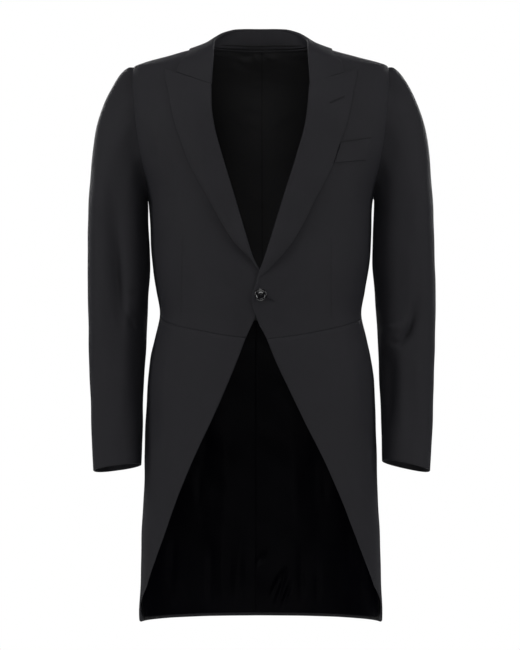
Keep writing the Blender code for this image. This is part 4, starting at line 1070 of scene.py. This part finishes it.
LINING_FOLDS = [
    (-56, -92, -34, -122, 2, -139, 3.0, 5.0, 0.7, -3.0),
    (67, -92, 40, -122, 4, -146, 3.0, 4.0, 0.5, -2.8),
    (-44, -92, -20, -104, 8, -104, 5.0, 7.0, 0.5, -1.8),
    (-20, -132, 8, -150, 34, -134, 5.0, 5.0, 0.5, 1.0),
    (-61, -160, -30, -186, 2, -200, 4.0, 6.0, 0.5, -2.2),
    (58, -150, 30, -178, 4, -196, 4.0, 6.0, 0.5, -1.6),
    (-5, -230, -8, -250, -5, -275, 6.0, 8.0, 0.5, -2.0),
    (-34, -66, -16, -78, 2, -80, 4.0, 4.0, 0.5, 1.0),
    (-50, -5, -30, -11, -6, -6, 2.6, 3.2, 0.6, 2.2),
    (-46, -14, -26, -19, -8, -13, 2.8, 3.2, 0.5, -1.6),
    (-14, -4, -8, -12, 0, -22, 2.0, 2.4, 0.4, -1.6),
    (4, -6, 16, -13, 30, -7, 2.6, 3.0, 0.5, -2.0),
    (2, -2, 2, -8, 2, -16, 1.6, 1.6, 0.3, 1.0),
    (-60, -20, -40, -34, -12, -30, 5.0, 7.0, 0.5, -1.3),
    (12, -30, 34, -40, 60, -22, 5.0, 7.0, 0.5, -1.0),
    (-52, -12, -38, -20, -26, -14, 2.4, 3.0, 0.5, 1.1),
    (38, -10, 46, -22, 56, -26, 2.6, 3.4, 0.5, -1.3),
    (-26, -44, -8, -56, 16, -50, 5.0, 6.0, 0.6, -1.1),
]
BACK_LINING_LINES = [(1.8, 10, 2.6, -450, 1.3, 0.5, 5.0)]
seamed_satin = cloth_material("black_satin_lining_seamed", SATIN, BACK_LINING_LINES)


def turned(seam):
    """A seam on the other side of the body."""
    return [(360 - angle, height) for angle, height in seam]


grid = patch(
    edge((BACK_LINING_NECK, BACK_LINING_COLUMNS)),
    edge((BACK_LINING_WAIST, BACK_LINING_COLUMNS)),
    edge((BACK_LINING_SIDE, BACK_LINING_ROWS)),
    edge((turned(BACK_LINING_SIDE), BACK_LINING_ROWS)),
)
points, _ = plain_body(grid[..., 0], grid[..., 1])
below = np.linalg.norm(points - points[:1], axis=-1)
out = LINING_OUT + NECK_TUCK * (1 - ease(below / NECK_TUCK_TO))
out = out - WAIST_LAP * ease((grid[..., 1] - WAIST_LAP_FROM) / (WAIST_LAP_FULL - WAIST_LAP_FROM))
out = out + folded(points, LINING_FOLDS) * ease(below / NECK_SEWN_FLAT)
turned_up = NECK_RISE * (1 - ease(below / NECK_RISE_TO)) * ease((points[..., 1] - RISE_BEHIND) / RISE_WIDENS)
turned_up = turned_up[..., None] * (0, STAND_LEAN, 1)
faces = [body(grid[..., 0], grid[..., 1], LEFT, out - depth) + turned_up for depth in (0, LINING)]
piece = sew("worn_back_lining", *faces, threads_of(grid[..., 0], grid[..., 1]), seamed_satin)
dress(piece, "back_lining")

SKIRT_LINING_ROWS, SKIRT_LINING_COLUMNS = 12 * 12, 12 * 9
LINING_FROM_EDGE, LINING_START = 15.0, -489
LINING_WAIST = [(31, -477), (64, -463), (120, -453)]
LINING_TOP, LINING_HEM = -451, -953.5
LINING_CENTRE = {LEFT: 182.0, RIGHT: 179.9}
LINING_DEEPER = {LEFT: 1.3, RIGHT: 0.0}
LINING_FOOT = [(82, -903), (90, -927), (96, -944), (103, LINING_HEM)]
TAIL_FOLDS = [
    (22, -950, 36, -910, 48, -868, 3.4, 4.2, 0.5, -3.0),
    (12, -938, 26, -905, 42, -876, 3.2, 3.8, 0.5, -2.6),
    (34, -952, 44, -924, 54, -896, 3.0, 3.6, 0.5, -2.4),
    (-12, -880, 0, -862, 12, -846, 3.2, 4.2, 0.5, -2.2),
    (-14, -770, -10, -786, 0, -794, 3.0, 3.0, 0.5, 0.9),
    (-44, -950, -40, -880, -30, -800, 10.0, 12.0, 0.4, -2.4),
    (-87, -948, -88, -880, -84, -810, 5.0, 7.0, 0.4, -1.6),
    (-68, -948, -68, -870, -64, -780, 5.0, 6.0, 0.4, 0.9),
    (70, -948, 71, -890, 68, -826, 5.0, 6.0, 0.4, -1.5),
    (98, -948, 98, -905, 95, -850, 5.0, 6.0, 0.4, -1.3),
    (-153, -930, -154, -870, -150, -810, 7.0, 8.0, 0.5, -2.2),
    (160, -920, 162, -860, 158, -800, 7.0, 8.0, 0.5, -2.2),
    (-108, -780, -107, -740, -104, -700, 5.0, 6.0, 0.5, -1.2),
    (112, -780, 111, -735, 108, -700, 5.0, 6.0, 0.5, -1.2),
]
# The skirt linings use the same satin painted far darker and duller than the neck lining's: painted shade
# for the deep inside of the tails.
SHADED_TAIL_SATIN = SATIN._replace(colour=(0.0004, 0.0003, 0.0012), specular=0.025, roughness=0.34)
shaded_tail_satin = cloth_material("black_satin_tail_lining_painted_shade", SHADED_TAIL_SATIN)
for side, label in SIDES:
    cutaway = places(CUTAWAY[side], out=LINING_FROM_EDGE)
    cutaway[0] = (cutaway[0][0], LINING_START)
    centre = [(LINING_CENTRE[side], LINING_TOP), (LINING_CENTRE[side], LINING_HEM)]
    grid = patch(
        edge(([cutaway[0]] + LINING_WAIST + centre[:1], SKIRT_LINING_COLUMNS)),
        edge(([LINING_FOOT[-1], centre[1]], SKIRT_LINING_COLUMNS)),
        edge((cutaway + LINING_FOOT, SKIRT_LINING_ROWS)),
        edge((centre, SKIRT_LINING_ROWS)),
    )
    points, _ = plain_body(grid[..., 0], grid[..., 1])
    behind = points[..., 1] > 0
    out = LINING_OUT - LINING_DEEPER[side] + np.where(behind, folded(points * (side, 1, 1), TAIL_FOLDS), 0.0)
    piece = panel("worn_skirt_lining_" + label, side, grid, shaded_tail_satin, out=out, thickness=LINING)
    dress(piece, "skirt_lining_" + label)

# Breast pocket welt: a narrow slanting band of the same wool, sewn along its foot and ends, its
# top edge the pocket's mouth. Its inner end is at the lapel's edge.
WELT_TOP = [(128.0, -171.3), (152, -167), (176.9, -162.7)]
WELT_FOOT = [(116.8, -203.8), (143, -200.3), (170.3, -196.9)]
WELT_ROWS, WELT_COLUMNS = 20, 36
WELT_CLOTH, WELT_SEAT, WELT_ROUNDING = 1.3, 0.5, 0.6
top, foot = places(WELT_TOP), places(WELT_FOOT)
grid = patch(
    edge((top, WELT_COLUMNS)),
    edge((foot, WELT_COLUMNS)),
    edge(([top[0], foot[0]], WELT_ROWS)),
    edge(([top[-1], foot[-1]], WELT_ROWS)),
)
seat = {"out": WELT_SEAT + WELT_CLOTH, "thickness": WELT_CLOTH}
piece = panel("worn_breast_welt", LEFT, grid, wool, free={"top": WELT_ROUNDING}, **seat)
dress(piece, "breast_welt")

# Front button: a polished black disc with a raised rim, a dished middle and four holes. It is sewn
# to the right forepart with black thread and brought out through the left one's buttonhole.

# The button's turned outline: distance from its middle and height off the cloth.
BUTTON = [
    (0.0, 1.9), (3.4, 1.95), (5.2, 2.1), (6.3, 2.45), (7.0, 2.95), (7.7, 3.35), (8.4, 3.5),
    (9.1, 3.35), (9.7, 2.85), (10.0, 2.1), (9.8, 1.4), (9.0, 0.8), (6.5, 0.2), (0.0, 0.0),
]
BUTTON_SIDES, BUTTON_SHARP_TURN = 72, 0.7
BUTTON_SEAT = 0.6
BUTTON_AT = (-0.2, -416)
HOLES, HOLE_RADIUS, HOLE_FROM_MIDDLE, HOLE_SIDES = 4, 0.9, 2.1, 20
HOLE_REACH = 6.0
BORE = [(0, HOLE_REACH), (HOLE_RADIUS, HOLE_REACH), (HOLE_RADIUS, -HOLE_REACH), (0, -HOLE_REACH)]
STITCH_RIBS, STRAIGHT_BACK = 0.22, (0.02, 1.0, 0.05)
THREAD_RADIUS, THREAD_SIDES, THREAD_STEPS, THREAD_STITCH = 0.34, 8, 16, 0.3
THREAD_SEAT, THREAD_RISE, THREAD_CROSSES = 1.2, 1.0, 0.35
SMEAR_SCALE, SMEARED, POLISHED = 700.0, 0.12, 0.16

gloss = bpy.data.materials.new("polished_black_button")
gloss.use_nodes = True
tree = gloss.node_tree
shader = tree.nodes["Principled BSDF"]
smears = speckle(tree, add_node(tree, "TexCoord", output="Object"), SMEAR_SCALE)
smears = reckon(tree, "ADD", reckon(tree, "MULTIPLY", smears, SMEARED), POLISHED)
feed(tree, shader, {"Base Color": (0.004, 0.004, 0.005, 1), "Specular IOR Level": 0.35})
feed(tree, shader, {"Roughness": smears, "Coat Weight": 0.5, "Coat Roughness": 0.07})

thread_material = cloth_material("black_sewing_thread", WORSTED._replace(thread=0.12, specular=0.3))


def lathe(profile, sides):
    """Points and faces of a turned solid round its own Z axis."""
    turns = 2 * np.pi * np.arange(sides) / sides
    points = []
    for size, rise in profile[1:-1]:
        points += [(size * np.cos(turn), size * np.sin(turn), rise) for turn in turns]
    faces = []
    for r in range(len(profile) - 3):
        for k in range(sides):
            n = (k + 1) % sides
            faces.append([r * sides + n, r * sides + k, (r + 1) * sides + k, (r + 1) * sides + n])
    points += [(0, 0, profile[0][1]), (0, 0, profile[-1][1])]
    top, base, last = len(points) - 2, len(points) - 1, (len(profile) - 3) * sides
    for k in range(sides):
        n = (k + 1) % sides
        faces += [[top, k, n], [base, last + n, last + k]]
    return np.array(points, float), faces


def on_button(points):
    """Points given from the button's middle, Z outwards, set in their place on the coat."""
    foot, away = plain_body(*places([BUTTON_AT])[0])
    right = unit(np.cross((0, 0, 1), away))
    up = np.cross(away, right)
    return foot + away * BUTTON_SEAT + points @ np.array([right, up, away])


points, faces = lathe(BUTTON, BUTTON_SIDES)
button = build("worn_front_button", on_button(points), faces, points[:, :2], [gloss])
cutters = []
for k in range(HOLES):
    turn = 2 * np.pi * (k + 0.5) / HOLES
    points, faces = lathe(BORE, HOLE_SIDES)
    points = points + (HOLE_FROM_MIDDLE * np.cos(turn), HOLE_FROM_MIDDLE * np.sin(turn), 0)
    cutter = build("button_hole_cutter", on_button(points), faces, points[:, :2], [gloss])
    hole = button.modifiers.new("hole", "BOOLEAN")
    hole.operation, hole.solver, hole.object = "DIFFERENCE", "EXACT", cutter
    cutters.append(cutter)
bpy.context.view_layer.update()
bored = bpy.data.meshes.new_from_object(button.evaluated_get(bpy.context.evaluated_depsgraph_get()))
button.modifiers.clear()
button.data = bored
bored.set_sharp_from_angle(angle=BUTTON_SHARP_TURN)
for cutter in cutters:
    bpy.data.objects.remove(cutter)
dress(button, "front_button")


def tube(name, path, radius, closed=False):
    """A thread along a path. A closed one is a row of small stitches, which rib it."""
    path = np.asarray(path, float)
    stitch = np.arange(len(path))[:, None]
    run = np.roll(path, -1, axis=0) - np.roll(path, 1, axis=0) if closed else np.gradient(path, axis=0)
    sideways = unit(np.cross(unit(run), STRAIGHT_BACK))
    upwards = np.cross(sideways, unit(run))
    size = radius * (1 + (STITCH_RIBS if closed else 0) * np.cos(stitch * np.pi))
    turns = np.linspace(0, 2 * np.pi, THREAD_SIDES + 1)[:-1]
    rim = np.cos(turns)[:, None] * sideways[:, None] + np.sin(turns)[:, None] * upwards[:, None]
    points = path[:, None] + size[:, None] * rim
    near = stitch * THREAD_SIDES + np.arange(THREAD_SIDES)
    far = np.roll(near, -1, axis=0)
    faces = np.stack([near, np.roll(near, -1, axis=1), np.roll(far, -1, axis=1), far], axis=-1)
    faces = (faces if closed else faces[:-1]).reshape(-1, 4).tolist()
    if not closed:
        faces += [near[0].tolist()[::-1], near[-1].tolist()]
    weave_places = np.stack(np.broadcast_arrays(turns * radius, stitch * THREAD_STITCH), axis=-1)
    piece = build(name, points.reshape(-1, 3), faces, weave_places.reshape(-1, 2), [thread_material])
    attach(piece, "root")


for k, label in enumerate("ab"):
    turn = 2 * np.pi * (k + 0.5) / HOLES
    share = np.linspace(-1, 1, THREAD_STEPS + 1)
    rise = THREAD_SEAT + (THREAD_RISE + THREAD_CROSSES * k) * np.sqrt(np.clip(1 - share**4, 0, 1))
    reach = share * HOLE_FROM_MIDDLE
    arc = np.stack([reach * np.cos(turn), reach * np.sin(turn), rise], axis=-1)
    tube("button_thread_" + label, on_button(arc), THREAD_RADIUS)

# Buttonholes: worked by hand in black twist, a close ribbed purl round each slit. One is at the
# front button and one near the top of the left lapel.

# Each slit: name, its two ends seen from the front, and how far off the body each end is.
SLITS = [
    ("front_buttonhole", (6.0, -419.5), (20.0, -425.0), 0.5, 0.5),
    ("lapel_buttonhole", (111.5, -106.8), (133.5, -96.4), 6.0, 4.6),
]
PURL_RADIUS, PURL_HALF_WIDTH, PURL_STITCH, PURL_END_STITCHES = 0.6, 1.0, 0.45, 4
for name, start, end, out_from, out_to in SLITS:
    start, end = np.array(start), np.array(end)
    length = np.linalg.norm(end - start)
    run = (end - start) / length
    sideways = np.array([-run[1], run[0]])
    share = np.linspace(0, 1, int(length / PURL_STITCH))
    turn = np.linspace(-np.pi / 2, np.pi / 2, PURL_END_STITCHES + 2)[1:-1]
    loop = [start + run * length * s - sideways * PURL_HALF_WIDTH for s in share]
    loop += [end + (run * np.cos(t) + sideways * np.sin(t)) * PURL_HALF_WIDTH for t in turn]
    loop += [end - run * length * s + sideways * PURL_HALF_WIDTH for s in share]
    loop += [start - (run * np.cos(t) + sideways * np.sin(t)) * PURL_HALF_WIDTH for t in turn]
    loop = np.array(loop)
    out = np.interp((loop - start) @ run / length, [0, 1], [out_from, out_to])
    tube(name, body(front_angle(*loop.T), loop[:, 1], LEFT, out), PURL_RADIUS, closed=True)
